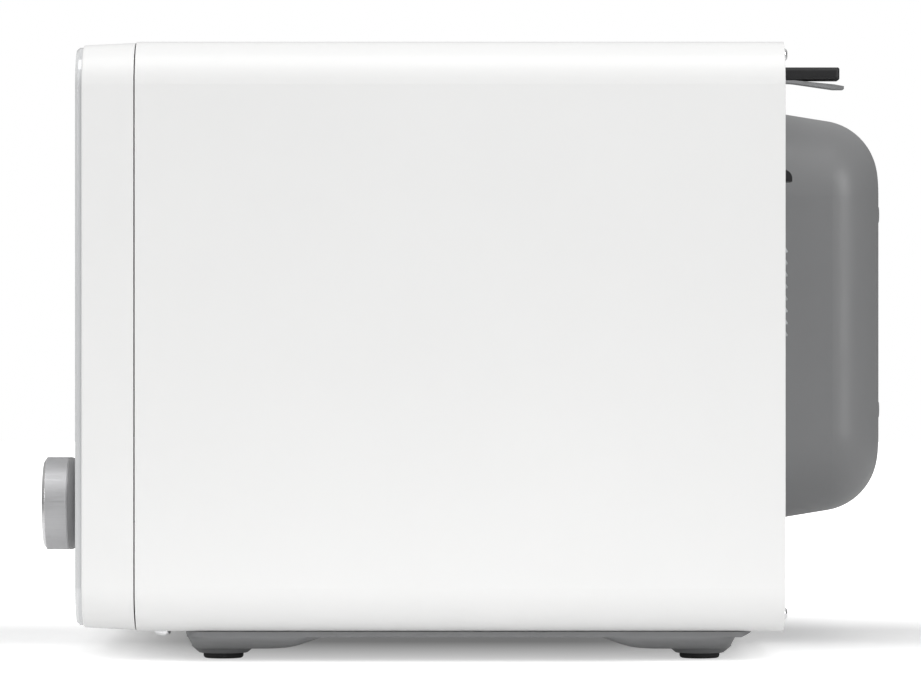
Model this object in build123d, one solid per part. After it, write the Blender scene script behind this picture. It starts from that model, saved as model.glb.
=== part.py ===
from build123d import *
import os
from math import cos, sin, radians

os.makedirs("parts", exist_ok=True)

# Overall sizes, millimetres: +Z up, front faces -Y, controls on the +X side
WIDTH = 513.0
HEIGHT = 306.0
FLOOR_GAP = 14.8
WRAP_DEPTH = 319.0
FRONT_DEPTH = 26.3
GLASS_T = 3.2
KNOB_GAP = 3.0
KNOB_LENGTH = 16.5
COVER_DEPTH = 60.2
COVER_SCREW_RISE = 1.2
CORNER_R = 22.0

# Levels along Y, from the knob face back to the rear cover
DEPTH = KNOB_LENGTH + KNOB_GAP + GLASS_T + FRONT_DEPTH + WRAP_DEPTH + COVER_DEPTH + COVER_SCREW_RISE
Y_KNOB = -DEPTH / 2
Y_GLASS = Y_KNOB + KNOB_LENGTH + KNOB_GAP
Y_FRAME = Y_GLASS + GLASS_T
Y_SEAM = Y_FRAME + FRONT_DEPTH
Y_REAR = Y_SEAM + WRAP_DEPTH
Y_MID = (Y_SEAM + Y_REAR) / 2
HALF_W = WIDTH / 2
Z_BOTTOM = FLOOR_GAP
Z_TOP = HEIGHT
Z_MID = (Z_BOTTOM + Z_TOP) / 2
WRAP_H = Z_TOP - Z_BOTTOM

# Sheet thicknesses and fits
SHEET = 0.8
PANEL = 1.0
FIT = 0.05
RUN = 0.3
SEAM_GAP = 0.6
# How far a cut runs past a face, and a rib or post into the wall that carries it
PAST = 1.0

# Door and control split
X_SPLIT = 128.0
SPLIT_GAP = 1.6
X_DOOR_R = X_SPLIT - SPLIT_GAP / 2
X_CTRL_L = X_SPLIT + SPLIT_GAP / 2
X_CTRL = (X_CTRL_L + HALF_W) / 2
FRONT_INSET = 0.6
FRONT_TAPER = 2.8
FRONT_EDGE_R = 1.1
GLASS_INSET = 3.0
GLASS_EDGE_Y = 1.5
GLASS_EDGE_IN = 1.2
Y_BACK = Y_SEAM - SEAM_GAP
FRAME_WALL = 2.5


def block(x0, x1, y0, y1, z0, z1):
    """Box between two corners."""
    size = Box(x1 - x0, y1 - y0, z1 - z0)
    return Pos((x0 + x1) / 2, (y0 + y1) / 2, (z0 + z1) / 2) * size


def rod_y(x, z, y0, y1, r):
    """Round bar along Y."""
    return Pos(x, (y0 + y1) / 2, z) * Rot(90, 0, 0) * Cylinder(r, y1 - y0)


def rod_x(y, z, x0, x1, r):
    """Round bar along X."""
    return Pos((x0 + x1) / 2, y, z) * Rot(0, 90, 0) * Cylinder(r, x1 - x0)


def rod_z(x, y, z0, z1, r):
    """Round bar along Z."""
    return Pos(x, y, (z0 + z1) / 2) * Cylinder(r, z1 - z0)


def front_outline(inset, radius):
    """Rounded front view outline of the oven, drawn facing -Y at Y zero."""
    w = WIDTH - 2 * inset
    h = WRAP_H - 2 * inset
    flat = RectangleRounded(w, h, radius)
    return Pos(0, 0, Z_MID) * Rot(90, 0, 0) * flat


def slab_y(inset, radius, y0, y1, taper=0):
    """Rounded slab from y1 forward to y0, narrowing toward the front."""
    face = Pos(0, y1, 0) * front_outline(inset, radius)
    return extrude(face, amount=y1 - y0, dir=(0, -1, 0), taper=taper)


def prism_x(points, x0, x1):
    """Straight prism along X over a list of (y, z) points."""
    ring = Polyline(*[(x0, y, z) for y, z in points], close=True)
    face = make_face(ring)
    return extrude(face, amount=x1 - x0, dir=(1, 0, 0))


def frustum(x, y, z0, z1, r0, r1):
    """Upright cone section from z0 to z1."""
    return Pos(x, y, (z0 + z1) / 2) * Cone(r0, r1, z1 - z0)


def save(name, shape):
    """Write one sub-part."""
    if isinstance(shape, (list, tuple)):
        shape = Compound(children=[s for s in shape])
    export_step(shape, f"parts/{name}.step")


# Cabinet wrap: one painted sheet folded round the top, the sides and under
RETURN_W = 42.0
wrap = slab_y(0, CORNER_R, Y_SEAM, Y_REAR)
wrap -= slab_y(SHEET, CORNER_R - SHEET, Y_SEAM - PAST, Y_REAR + PAST)
OPEN_HALF = HALF_W - RETURN_W
FRONT_STRIP = 34.0
REAR_STRIP = 24.0
wrap -= block(-OPEN_HALF, OPEN_HALF, Y_SEAM + FRONT_STRIP, Y_REAR - REAR_STRIP,
              Z_BOTTOM - PAST, Z_BOTTOM + SHEET + PAST)

# Base screws seen under the front edge
SCREW_R = 3.9
SCREW_RISE = 2.6
SHANK_R = 1.9
BASE_SCREW_Y = Y_SEAM + 12.4
BASE_SCREW_X = HALF_W - 27.0
BASE_SCREW_LEN = 8.0
SCREW_DOME = 2.2
CROSS_LEN = 2.4
CROSS_HALF = 0.5
CROSS_DEEP = 0.8

# Feet and base plate; every foot reaches from a short toe to a long heel
FRONT_PAD_Y = Y_SEAM + 41.3
REAR_PAD_Y = Y_SEAM + 279.1
FOOT_X = 205.0
PAD_R = 10.0
PAD_T = 2.7
PAD_EDGE_R = 1.5
BASE_HALF_W = HALF_W - 18.0
BASE_Y0 = FRONT_PAD_Y - 17.6
BASE_Y1 = REAR_PAD_Y + 24.3
BASE_R = 9.0
RAIL_DROP = 2.9
RAIL_Z = Z_BOTTOM - RAIL_DROP
PLATE_Z = Z_BOTTOM - PANEL
FRONT_SLOPE = 0.8
REAR_SLOPE = 5.0
REAR_LIP = 0.6
FOOT_SHEET = 1.0
FOOT_FLOOR = 5.6
SEAT_LOW_R = 12.0
SEAT_TOP_R = 16.0
SEAT_EDGE_R = 1.0

# Foot sections: height, toe length, heel length, half width and corner radius
FOOT_SECTIONS = (
    (FOOT_FLOOR, 14.2, 28.7, 20.0, 8.0),
    (7.3, 14.8, 38.2, 26.5, 9.0),
    (9.1, 15.5, 43.2, 30.5, 10.0),
    (RAIL_Z, 16.9, 51.2, BASE_HALF_W - FOOT_X, 11.0),
)


def foot_loft(pad_y, way, shrink):
    """Pressed form of a foot, drawn in by shrink; way points from toe to heel."""
    faces = []
    for z, toe, heel, half, corner in FOOT_SECTIONS:
        y_toe = pad_y - way * (toe - shrink)
        y_heel = pad_y + way * (heel - shrink)
        flat = RectangleRounded(2 * (half - shrink), abs(y_heel - y_toe), corner - shrink)
        faces.append((Pos(0, (y_toe + y_heel) / 2, z + shrink) * flat).faces()[0])
    return loft(faces)


base = block(-BASE_HALF_W, BASE_HALF_W, BASE_Y0, BASE_Y1, RAIL_Z, Z_BOTTOM)
base = fillet(base.edges().filter_by(Axis.Z), BASE_R)
inner = block(-BASE_HALF_W + PANEL, BASE_HALF_W - PANEL, BASE_Y0 + PANEL, BASE_Y1 - PANEL, RAIL_Z - PAST, PLATE_Z)
base -= fillet(inner.edges().filter_by(Axis.Z), BASE_R - PANEL)
rear_cut = [(BASE_Y1 - REAR_SLOPE, RAIL_Z), (BASE_Y1, Z_BOTTOM - REAR_LIP), (BASE_Y1, RAIL_Z)]
front_cut = [(BASE_Y0 + FRONT_SLOPE, RAIL_Z), (BASE_Y0, Z_BOTTOM), (BASE_Y0, RAIL_Z)]
for cut in (rear_cut, front_cut):
    base -= prism_x(cut, -BASE_HALF_W - PAST, BASE_HALF_W + PAST)
FEET = []
for side in (-1, 1):
    for pad_y, way in ((FRONT_PAD_Y, 1), (REAR_PAD_Y, -1)):
        FEET.append((side * FOOT_X, pad_y, way))
for x, pad_y, way in FEET:
    base += Pos(x, 0, 0) * foot_loft(pad_y, way, 0)
    seat = frustum(x, pad_y, PAD_T, FOOT_FLOOR + FOOT_SHEET / 2, SEAT_LOW_R, SEAT_TOP_R)
    base += fillet(seat.edges().group_by(Axis.Z)[0], SEAT_EDGE_R)
for x, pad_y, way in FEET:
    base -= Pos(x, 0, 0) * foot_loft(pad_y, way, FOOT_SHEET)
    mouth_half = BASE_HALF_W - FOOT_X - FOOT_SHEET
    y_toe = pad_y - way * (FOOT_SECTIONS[-1][1] - FOOT_SHEET)
    y_heel = pad_y + way * (FOOT_SECTIONS[-1][2] - FOOT_SHEET)
    mouth = block(x - mouth_half, x + mouth_half, min(y_toe, y_heel), max(y_toe, y_heel), RAIL_Z + FOOT_SHEET,
                  Z_BOTTOM + PAST)
    base -= fillet(mouth.edges().filter_by(Axis.Z), FOOT_SECTIONS[-1][4] - FOOT_SHEET)

# Air slots in the base plate
VENT_L = 60.0
VENT_W = 4.0
VENT_STEP = 12.0
VENT_ROWS = 4
for i in range(-VENT_ROWS, VENT_ROWS + 1):
    base -= block(VENT_L, 2 * VENT_L, i * VENT_STEP - VENT_W / 2, i * VENT_STEP + VENT_W / 2,
                  PLATE_Z - PAST, Z_BOTTOM + PAST)

# Rubber pads pressed under the feet
pads = []
for x, pad_y, way in FEET:
    pad = rod_z(x, pad_y, 0, PAD_T, PAD_R)
    pad = fillet(pad.edges().group_by(Axis.Z)[0], PAD_EDGE_R)
    pads.append(pad)

# Base screws
base_screws = []
for side in (-1, 1):
    head = rod_z(side * BASE_SCREW_X, BASE_SCREW_Y, Z_BOTTOM - SCREW_RISE, Z_BOTTOM, SCREW_R)
    head = fillet(head.edges().group_by(Axis.Z)[0], SCREW_DOME)
    slot_a = block(-CROSS_LEN, CROSS_LEN, -CROSS_HALF, CROSS_HALF, -CROSS_DEEP, 0.0)
    slot_b = block(-CROSS_HALF, CROSS_HALF, -CROSS_LEN, CROSS_LEN, -CROSS_DEEP, 0.0)
    cross = Pos(side * BASE_SCREW_X, BASE_SCREW_Y, Z_BOTTOM - SCREW_RISE + CROSS_DEEP) * (slot_a + slot_b)
    shank = rod_z(side * BASE_SCREW_X, BASE_SCREW_Y, Z_BOTTOM, Z_BOTTOM + BASE_SCREW_LEN, SHANK_R)
    base_screws.append(head - cross + shank)
    wrap -= rod_z(side * BASE_SCREW_X, BASE_SCREW_Y, Z_BOTTOM - PAST, Z_BOTTOM + SHEET + PAST, SHANK_R + FIT)
save("base_plate", base)
save("foot_pads", pads)
save("base_screws", base_screws)

# Rear panel: flat sheet let into the wrap, with a bank of louvres
PANEL_GAP = 0.2
PANEL_INSET = SHEET + PANEL_GAP
Y_PANEL = Y_REAR - PANEL
rear = slab_y(PANEL_INSET, CORNER_R - PANEL_INSET, Y_PANEL, Y_REAR)
LOUVRES = 8
LOUVRE_STEP = 5.9
LOUVRE_TOP = 206.0
LOUVRE_OUT = 2.0
LOUVRE_H = 4.2
LOUVRE_X0 = 184.0
LOUVRE_X1 = 240.0
LOUVRE_SKIN = 0.8
LOUVRE_MOUTH = 0.1


for i in range(LOUVRES):
    z = LOUVRE_TOP - i * LOUVRE_STEP
    hood = [(Y_REAR, z), (Y_REAR + LOUVRE_OUT, z - LOUVRE_H + LOUVRE_SKIN),
            (Y_REAR + LOUVRE_OUT, z - LOUVRE_H), (Y_REAR, z - LOUVRE_H)]
    back = Y_PANEL - 1
    tip = Y_REAR + LOUVRE_OUT - LOUVRE_SKIN
    gap = [(back, z - 2 * LOUVRE_SKIN), (Y_REAR, z - 2 * LOUVRE_SKIN), (tip, z - LOUVRE_H + LOUVRE_SKIN),
           (tip, z - LOUVRE_H - LOUVRE_MOUTH), (back, z - LOUVRE_H - LOUVRE_MOUTH)]
    rear += prism_x(hood, LOUVRE_X0, LOUVRE_X1)
    rear -= prism_x(gap, LOUVRE_X0 + LOUVRE_SKIN, LOUVRE_X1 - LOUVRE_SKIN)

# Exhaust slots on the far side of the rear panel
SLOT_X0 = -240.0
SLOT_X1 = -218.0
SLOT_H = 3.0
SLOT_STEP = 9.0
SLOT_LOW = 60.0
SLOT_ROWS = 12
for i in range(SLOT_ROWS):
    z = SLOT_LOW + i * SLOT_STEP
    rear -= block(SLOT_X0, SLOT_X1, Y_PANEL - PAST, Y_REAR + PAST, z, z + SLOT_H)

# Rear cover over the fan: drafted box with broad rounded edges
COVER_X0 = -205.0
COVER_X1 = 105.0
COVER_Z0 = 63.7
COVER_Z1 = 279.8
COVER_R = 46.0
COVER_EDGE_R = 31.3
COVER_DRAFT = 9.3
COVER_SKIN = 1.6
COVER_X = (COVER_X0 + COVER_X1) / 2
COVER_Z = (COVER_Z0 + COVER_Z1) / 2
Y_COVER = Y_REAR + COVER_DEPTH


def cover_body(shrink):
    """Drafted rounded box behind the rear panel, its skin drawn in by shrink."""
    w = COVER_X1 - COVER_X0 - 2 * shrink
    h = COVER_Z1 - COVER_Z0 - 2 * shrink
    flat = RectangleRounded(w, h, COVER_R - shrink)
    flat = Pos(COVER_X, Y_REAR, COVER_Z) * Rot(90, 0, 0) * flat
    solid = extrude(flat, amount=COVER_DEPTH - shrink, dir=(0, 1, 0), taper=COVER_DRAFT)
    return fillet(solid.edges().group_by(Axis.Y)[-1], COVER_EDGE_R - shrink)


cover = cover_body(0) - cover_body(COVER_SKIN)
COVER_VENTS = 9
VENT_PITCH = 8.0
VENT_HALF = 26.0
VENT_SLIT = 1.5
VENT_DEEP = 6.0
for i in range(COVER_VENTS):
    x = COVER_X + (i - (COVER_VENTS - 1) / 2) * VENT_PITCH
    cover -= block(x - VENT_SLIT, x + VENT_SLIT, Y_COVER - VENT_DEEP, Y_COVER + PAST, COVER_Z - VENT_HALF, COVER_Z + VENT_HALF)

# Screws of the rear cover and of the rear panel
COVER_SCREW_X = 106.0
COVER_SCREW_Z = (122.3, 225.0)
COVER_SCREW_R = 4.6
CSHANK_LEN = 8.0
CROSS_OUT = 3.0
cover_screws = []
for side in (-1, 1):
    for z in COVER_SCREW_Z:
        x = COVER_X + side * COVER_SCREW_X
        head = rod_y(x, z, Y_COVER, Y_COVER + COVER_SCREW_RISE, COVER_SCREW_R)
        head = chamfer(head.edges().group_by(Axis.Y)[-1], COVER_SCREW_RISE / 2)
        y_cross = Y_COVER + COVER_SCREW_RISE / 2
        head -= block(x - CROSS_LEN, x + CROSS_LEN, y_cross, Y_COVER + CROSS_OUT, z - CROSS_HALF, z + CROSS_HALF)
        head -= block(x - CROSS_HALF, x + CROSS_HALF, y_cross, Y_COVER + CROSS_OUT, z - CROSS_LEN, z + CROSS_LEN)
        head += rod_y(x, z, Y_COVER - CSHANK_LEN, Y_COVER, SHANK_R)
        cover_screws.append(head)
        cover -= rod_y(x, z, Y_COVER - VENT_DEEP, Y_COVER + PAST, SHANK_R + FIT)

REAR_SCREW_X = HALF_W - 26.0
REAR_SCREW_Z = (23.3, 299.9)
REAR_SCREW_R = 3.2
REAR_SCREW_RISE = 2.4
REAR_SCREW_DOME = 1.9
REAR_CROSS = 1.8
rear_screws = []
for side in (-1, 1):
    for z in REAR_SCREW_Z:
        x = side * REAR_SCREW_X
        head = rod_y(x, z, Y_REAR, Y_REAR + REAR_SCREW_RISE, REAR_SCREW_R)
        head = fillet(head.edges().group_by(Axis.Y)[-1], REAR_SCREW_DOME)
        y_cross = Y_REAR + REAR_SCREW_RISE / 2
        head -= block(x - REAR_CROSS, x + REAR_CROSS, y_cross, Y_REAR + CROSS_OUT, z - CROSS_HALF, z + CROSS_HALF)
        head -= block(x - CROSS_HALF, x + CROSS_HALF, y_cross, Y_REAR + CROSS_OUT, z - REAR_CROSS, z + REAR_CROSS)
        head += rod_y(x, z, Y_REAR - CSHANK_LEN, Y_REAR, SHANK_R)
        rear_screws.append(head)
        rear -= rod_y(x, z, Y_PANEL - PAST, Y_REAR + PAST, SHANK_R + FIT)

# Wall spacer arm and the steel tongue under it
BAR_X0 = 168.0
BAR_X1 = 184.0
BAR_Z0 = 289.65
BAR_Z1 = 296.15
BAR_OUT = 31.7
BAR_EDGE_R = 1.0
bar = block(BAR_X0, BAR_X1, Y_REAR, Y_REAR + BAR_OUT, BAR_Z0, BAR_Z1)
bar = fillet(bar.edges().filter_by(Axis.X).group_by(Axis.Y)[-1], BAR_EDGE_R)
bar = fillet(bar.edges().filter_by(Axis.Z).group_by(Axis.Y)[-1], 2 * BAR_EDGE_R)
TONGUE_OUT = 33.9
TONGUE_ROOT = 9.0
TONGUE_BEND = 5.0
TONGUE_T = 0.9
TONGUE_TIP = 1.5
TONGUE_DROP = 2.9
TONGUE_KNEE = 2.0
TONGUE_INSET = 1.0
z_root = BAR_Z0 - FIT
y_knee = Y_REAR + TONGUE_OUT - TONGUE_BEND
y_tip = Y_REAR + TONGUE_OUT
z_tip = z_root - TONGUE_DROP
tongue = prism_x([(Y_REAR, z_root), (Y_REAR + TONGUE_ROOT, z_root), (y_knee, z_root - TONGUE_KNEE),
                  (y_tip, z_tip), (y_tip, z_tip - TONGUE_TIP), (y_knee, z_tip - TONGUE_TIP),
                  (Y_REAR + TONGUE_ROOT, z_root - TONGUE_TIP), (Y_REAR, z_root - TONGUE_T)],
                 BAR_X0 + TONGUE_INSET, BAR_X1 - TONGUE_INSET)

# Cord gland, a quarter-round lip of black plastic
GLAND_X = 225.0
GLAND_Z0 = 237.0
GLAND_Z1 = 242.9
GLAND_OUT = 4.7
GLAND_HALF = 9.0
GLAND_ROUND = 4.4
gland = block(GLAND_X - GLAND_HALF, GLAND_X + GLAND_HALF, Y_REAR, Y_REAR + GLAND_OUT, GLAND_Z0, GLAND_Z1)
gland = fillet(gland.edges().filter_by(Axis.X).group_by(Axis.Y)[-1].sort_by(Axis.Z)[-1:], GLAND_ROUND)
NECK = 1.0
NECK_LEN = 6.0
gland += block(GLAND_X - GLAND_HALF + NECK, GLAND_X + GLAND_HALF - NECK, Y_REAR - NECK_LEN, Y_REAR,
               GLAND_Z0 + NECK, GLAND_Z1 - NECK)
rear -= block(GLAND_X - GLAND_HALF + NECK - FIT, GLAND_X + GLAND_HALF - NECK + FIT, Y_PANEL - PAST,
              Y_REAR + PAST / 2, GLAND_Z0 + NECK - FIT, GLAND_Z1 - NECK + FIT)
save("rear_screws", rear_screws)
save("cover_screws", cover_screws)
save("fan_cover", cover)
save("wall_spacer", bar)
save("spacer_tongue", tongue)
save("cord_gland", gland)

# Opening in the rear panel behind the cover
REAR_HOLE_EDGE = 26.0
REAR_HOLE_LOW = 12.0
rear -= block(COVER_X0 + REAR_HOLE_EDGE, COVER_X1 - REAR_HOLE_EDGE, Y_PANEL - PAST, Y_REAR + PAST,
              COVER_Z0 + REAR_HOLE_LOW, COVER_Z1 - REAR_HOLE_EDGE)
save("rear_panel", rear)

# Oven cavity sizes
CAV_X0 = -230.0
CAV_X1 = 100.0
CAV_Z0 = 44.0
CAV_Z1 = 254.0
CAV_X = (CAV_X0 + CAV_X1) / 2
CAV_Z = (CAV_Z0 + CAV_Z1) / 2
CAV_SKIN = 0.8
CAV_R = 8.0

# Front plate: steel sheet closing the wrap round the cavity mouth
Y_PLATE = Y_SEAM + PANEL
front_plate = slab_y(PANEL_INSET, CORNER_R - PANEL_INSET, Y_SEAM, Y_PLATE)
mouth = block(CAV_X0, CAV_X1, Y_SEAM - PAST, Y_PLATE + PAST, CAV_Z0, CAV_Z1)
mouth = fillet(mouth.edges().filter_by(Axis.Y), CAV_R)
front_plate -= mouth
CTRL_CUT_X0 = 152.0
CTRL_CUT_X1 = 238.0
CTRL_CUT_Z0 = 40.0
CTRL_CUT_Z1 = 280.0
front_plate -= block(CTRL_CUT_X0, CTRL_CUT_X1, Y_SEAM - PAST, Y_PLATE + PAST, CTRL_CUT_Z0, CTRL_CUT_Z1)

# Hook slots of the door latch
HOOK_X = 113.0
HOOK_T = 3.0
HOOK_ZS = (76.0, 224.0)
HOOK_H = 8.0
HOOK_DROP = 4.0
HOOK_CATCH = 2.0
SLOT_SIDE = 1.5
SLOT_RISE = 3.0
for z in HOOK_ZS:
    front_plate -= block(HOOK_X - HOOK_T / 2 - SLOT_SIDE, HOOK_X + HOOK_T / 2 + SLOT_SIDE, Y_SEAM - PAST,
                         Y_PLATE + PAST, z - HOOK_CATCH, z + HOOK_H + SLOT_RISE)

# Front body shared by the door frame and the control frame
front_body = slab_y(FRONT_INSET, CORNER_R - FRONT_INSET, Y_FRAME, Y_BACK, taper=FRONT_TAPER)
front_body = fillet(front_body.edges().group_by(Axis.Y)[0], FRONT_EDGE_R)
glass_body = slab_y(GLASS_INSET, CORNER_R - GLASS_INSET, Y_GLASS, Y_FRAME)
glass_body = chamfer(glass_body.edges().group_by(Axis.Y)[0], GLASS_EDGE_Y, GLASS_EDGE_IN)
WALL_IN = FRONT_INSET + FRAME_WALL
front_inner = slab_y(WALL_IN, CORNER_R - WALL_IN, Y_FRAME + FRAME_WALL, Y_BACK + PAST, taper=FRONT_TAPER)
BIG = 400.0
CTRL_SIDE = block(X_CTRL_L, BIG, -BIG, BIG, -BIG, BIG)
DOOR_SIDE = block(-BIG, X_DOOR_R, -BIG, BIG, -BIG, BIG)
CTRL_INNER = block(X_CTRL_L + FRAME_WALL, BIG, -BIG, BIG, -BIG, BIG)
DOOR_INNER = block(-BIG, X_DOOR_R - FRAME_WALL, -BIG, BIG, -BIG, BIG)

# Knob and push encoder
KNOB_X = X_CTRL
KNOB_Z = 76.8
KNOB_R = 23.2
KNOB_BASE_L = 3.7
KNOB_LINE = 0.5
KNOB_CHAMFER_Y = 1.5
KNOB_CHAMFER_R = 2.2
KNOB_FACE_R = 20.0
KNOB_RECESS = 0.4
KNOB_WALL = 2.6
KNOB_STEP = 0.4
KNOB_BACK_R = 3.2
KNOB_BASE_W = 5.0
KNOB_CROWN = 1.0
KNOB_HUB_WALL = 1.5
SHAFT_DEEP = 4.0
SHAFT_R = 3.0
BUSH_R = 5.0
Y_KNOB_BACK = Y_GLASS - KNOB_GAP
Y_KNOB_BASE = Y_KNOB_BACK - KNOB_BASE_L
RING_BAND = 0.1
Y_RING = Y_KNOB + KNOB_CHAMFER_Y + RING_BAND
PUSH = 1.0
PUSH_GAP = 0.2
ENC_HALF = 8.0
ENC_BACK = 13.0
ENC_WALL = 2.0
ENC_Y0 = Y_FRAME + FRAME_WALL
ENC_Y1 = Y_FRAME + ENC_BACK
BOARD_T = 1.6
Y_BOARD = ENC_Y1
SLIDER_HALF = 5.5
SLIDER_L = 5.0
SHAFT_SEAT = 1.0

ring = rod_y(KNOB_X, KNOB_Z, Y_KNOB, Y_RING, KNOB_R)
ring = chamfer(ring.edges().group_by(Axis.Y)[0], KNOB_CHAMFER_Y, KNOB_CHAMFER_R)
ring -= rod_y(KNOB_X, KNOB_Z, Y_KNOB - PAST, Y_RING + PAST, KNOB_FACE_R)
face = rod_y(KNOB_X, KNOB_Z, Y_KNOB + KNOB_RECESS, Y_RING, KNOB_FACE_R)
Y_BODY_BACK = Y_KNOB_BASE - KNOB_LINE
knob = rod_y(KNOB_X, KNOB_Z, Y_RING, Y_BODY_BACK, KNOB_R)
knob += rod_y(KNOB_X, KNOB_Z, Y_RING, Y_KNOB_BASE, KNOB_R - KNOB_STEP)
knob -= rod_y(KNOB_X, KNOB_Z, Y_RING + KNOB_WALL, Y_KNOB_BACK, KNOB_R - KNOB_WALL)
knob += rod_y(KNOB_X, KNOB_Z, Y_RING + KNOB_CROWN, Y_KNOB_BACK, BUSH_R + KNOB_HUB_WALL)
SHAFT_TIP = Y_RING + SHAFT_DEEP
knob -= rod_y(KNOB_X, KNOB_Z, SHAFT_TIP, Y_KNOB_BACK + PAST, SHAFT_R)
knob_base = rod_y(KNOB_X, KNOB_Z, Y_KNOB_BASE, Y_KNOB_BACK, KNOB_R)
knob_base = fillet(knob_base.edges().group_by(Axis.Y)[-1], KNOB_BACK_R)
knob_base -= rod_y(KNOB_X, KNOB_Z, Y_KNOB_BASE - PAST, Y_KNOB_BACK + PAST, KNOB_R - KNOB_BASE_W)
SLIDER_Y0 = ENC_Y0 + ENC_WALL
SLIDER_Y1 = SLIDER_Y0 + SLIDER_L
shaft = rod_y(KNOB_X, KNOB_Z, SHAFT_TIP, SLIDER_Y1 - SHAFT_SEAT, SHAFT_R)
slider = block(KNOB_X - SLIDER_HALF, KNOB_X + SLIDER_HALF, SLIDER_Y0, SLIDER_Y1,
               KNOB_Z - SLIDER_HALF, KNOB_Z + SLIDER_HALF)
slider -= rod_y(KNOB_X, KNOB_Z, SLIDER_Y0 - PAST, SLIDER_Y1 - SHAFT_SEAT + FIT, SHAFT_R + FIT)
encoder = block(KNOB_X - ENC_HALF, KNOB_X + ENC_HALF, ENC_Y0, ENC_Y1, KNOB_Z - ENC_HALF, KNOB_Z + ENC_HALF)
encoder -= block(KNOB_X - SLIDER_HALF - FIT, KNOB_X + SLIDER_HALF + FIT, SLIDER_Y0 - FIT,
                 SLIDER_Y1 + PUSH + PUSH_GAP, KNOB_Z - SLIDER_HALF - FIT, KNOB_Z + SLIDER_HALF + FIT)
encoder += rod_y(KNOB_X, KNOB_Z, Y_FRAME, ENC_Y0, BUSH_R)
encoder -= rod_y(KNOB_X, KNOB_Z, Y_FRAME - PAST, SLIDER_Y0, SHAFT_R + FIT)

# Door release button and its lever
BTN_HALF = 46.0
BTN_Z0 = 24.0
BTN_Z1 = 43.0
BTN_X = X_CTRL
BTN_TRAVEL = 4.0
BTN_WALL = 2.0
BTN_GAP = 0.5
BTN_FLANGE = 2.5
BTN_STOP = 0.3
BTN_RIM = 2.0
BTN_R = 3.0
BTN_EDGE_R = 0.6
BTN_BACK = ENC_Y0 + BTN_STOP + BTN_RIM
button = block(BTN_X - BTN_HALF, BTN_X + BTN_HALF, Y_GLASS, BTN_BACK, BTN_Z0, BTN_Z1)
button = fillet(button.edges().filter_by(Axis.Y), BTN_R)
button = fillet(button.edges().group_by(Axis.Y)[0], BTN_EDGE_R)
flange = block(BTN_X - BTN_HALF - BTN_FLANGE, BTN_X + BTN_HALF + BTN_FLANGE, ENC_Y0 + BTN_STOP, BTN_BACK,
               BTN_Z0 - BTN_FLANGE, BTN_Z1 + BTN_FLANGE)
button += flange
button -= block(BTN_X - BTN_HALF + BTN_WALL, BTN_X + BTN_HALF - BTN_WALL, Y_GLASS + BTN_WALL, BTN_BACK + PAST,
                BTN_Z0 + BTN_WALL, BTN_Z1 - BTN_WALL)
STEM_X = 150.5
STEM_HALF = 3.0
BTN_STEM_Z = (BTN_Z0 + BTN_Z1) / 2
PIVOT_IN = 9.0
PIVOT_Y = Y_SEAM - PIVOT_IN
PIVOT_Z = 62.0
PIVOT_R = 2.0
LEVER_T = 3.0
LEVER_GAP = 0.3
LEVER_SET = 2.5
STEM_END = PIVOT_Y - LEVER_T / 2 - LEVER_GAP - LEVER_SET
button += block(STEM_X - STEM_HALF, STEM_X + STEM_HALF, Y_GLASS + BTN_WALL, STEM_END,
                BTN_STEM_Z - STEM_HALF, BTN_STEM_Z + STEM_HALF)


def button_hole(y0, y1):
    """Opening the release button passes through."""
    hole = block(BTN_X - BTN_HALF - BTN_GAP, BTN_X + BTN_HALF + BTN_GAP, y0, y1,
                 BTN_Z0 - BTN_GAP, BTN_Z1 + BTN_GAP)
    return fillet(hole.edges().filter_by(Axis.Y), BTN_R + BTN_GAP)


control_frame = (front_body & CTRL_SIDE) - (front_inner & CTRL_INNER)
control_frame -= rod_y(KNOB_X, KNOB_Z, Y_FRAME - PAST, ENC_Y0 + PAST, BUSH_R + FIT)
control_frame -= button_hole(Y_FRAME - PAST, ENC_Y0 + PAST)
control_glass = glass_body & CTRL_SIDE
control_glass -= rod_y(KNOB_X, KNOB_Z, Y_GLASS - PAST, Y_FRAME + PAST, BUSH_R)
control_glass -= button_hole(Y_GLASS - PAST, Y_FRAME + PAST)
BOSS_R = 3.5
BOSS_IN = 8.0
BOSS_X = (X_CTRL_L + BOSS_IN, HALF_W - BOSS_IN - FRONT_INSET)
BOSS_Z = (52.0, 262.0)
for x in BOSS_X:
    for z in BOSS_Z:
        control_frame += rod_y(x, z, Y_FRAME + PAST, Y_SEAM, BOSS_R)

# Display window, display module and control board behind the glass
DISP_HALF = 38.0
DISP_Z0 = 232.0
DISP_Z1 = 262.0
control_frame -= block(X_CTRL - DISP_HALF, X_CTRL + DISP_HALF, Y_FRAME - PAST, ENC_Y0 + PAST, DISP_Z0, DISP_Z1)
DISP_EDGE = 1.0
DISP_IN = 0.2
DISP_W = DISP_HALF - DISP_EDGE
display = block(X_CTRL - DISP_W, X_CTRL + DISP_W, Y_FRAME + DISP_IN, Y_BOARD,
                DISP_Z0 + DISP_EDGE, DISP_Z1 - DISP_EDGE)
BOARD_HALF = 44.0
BOARD_Z0 = 68.0
BOARD_Z1 = 276.0
board = block(X_CTRL - BOARD_HALF, X_CTRL + BOARD_HALF, Y_BOARD, Y_BOARD + BOARD_T, BOARD_Z0, BOARD_Z1)

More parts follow.
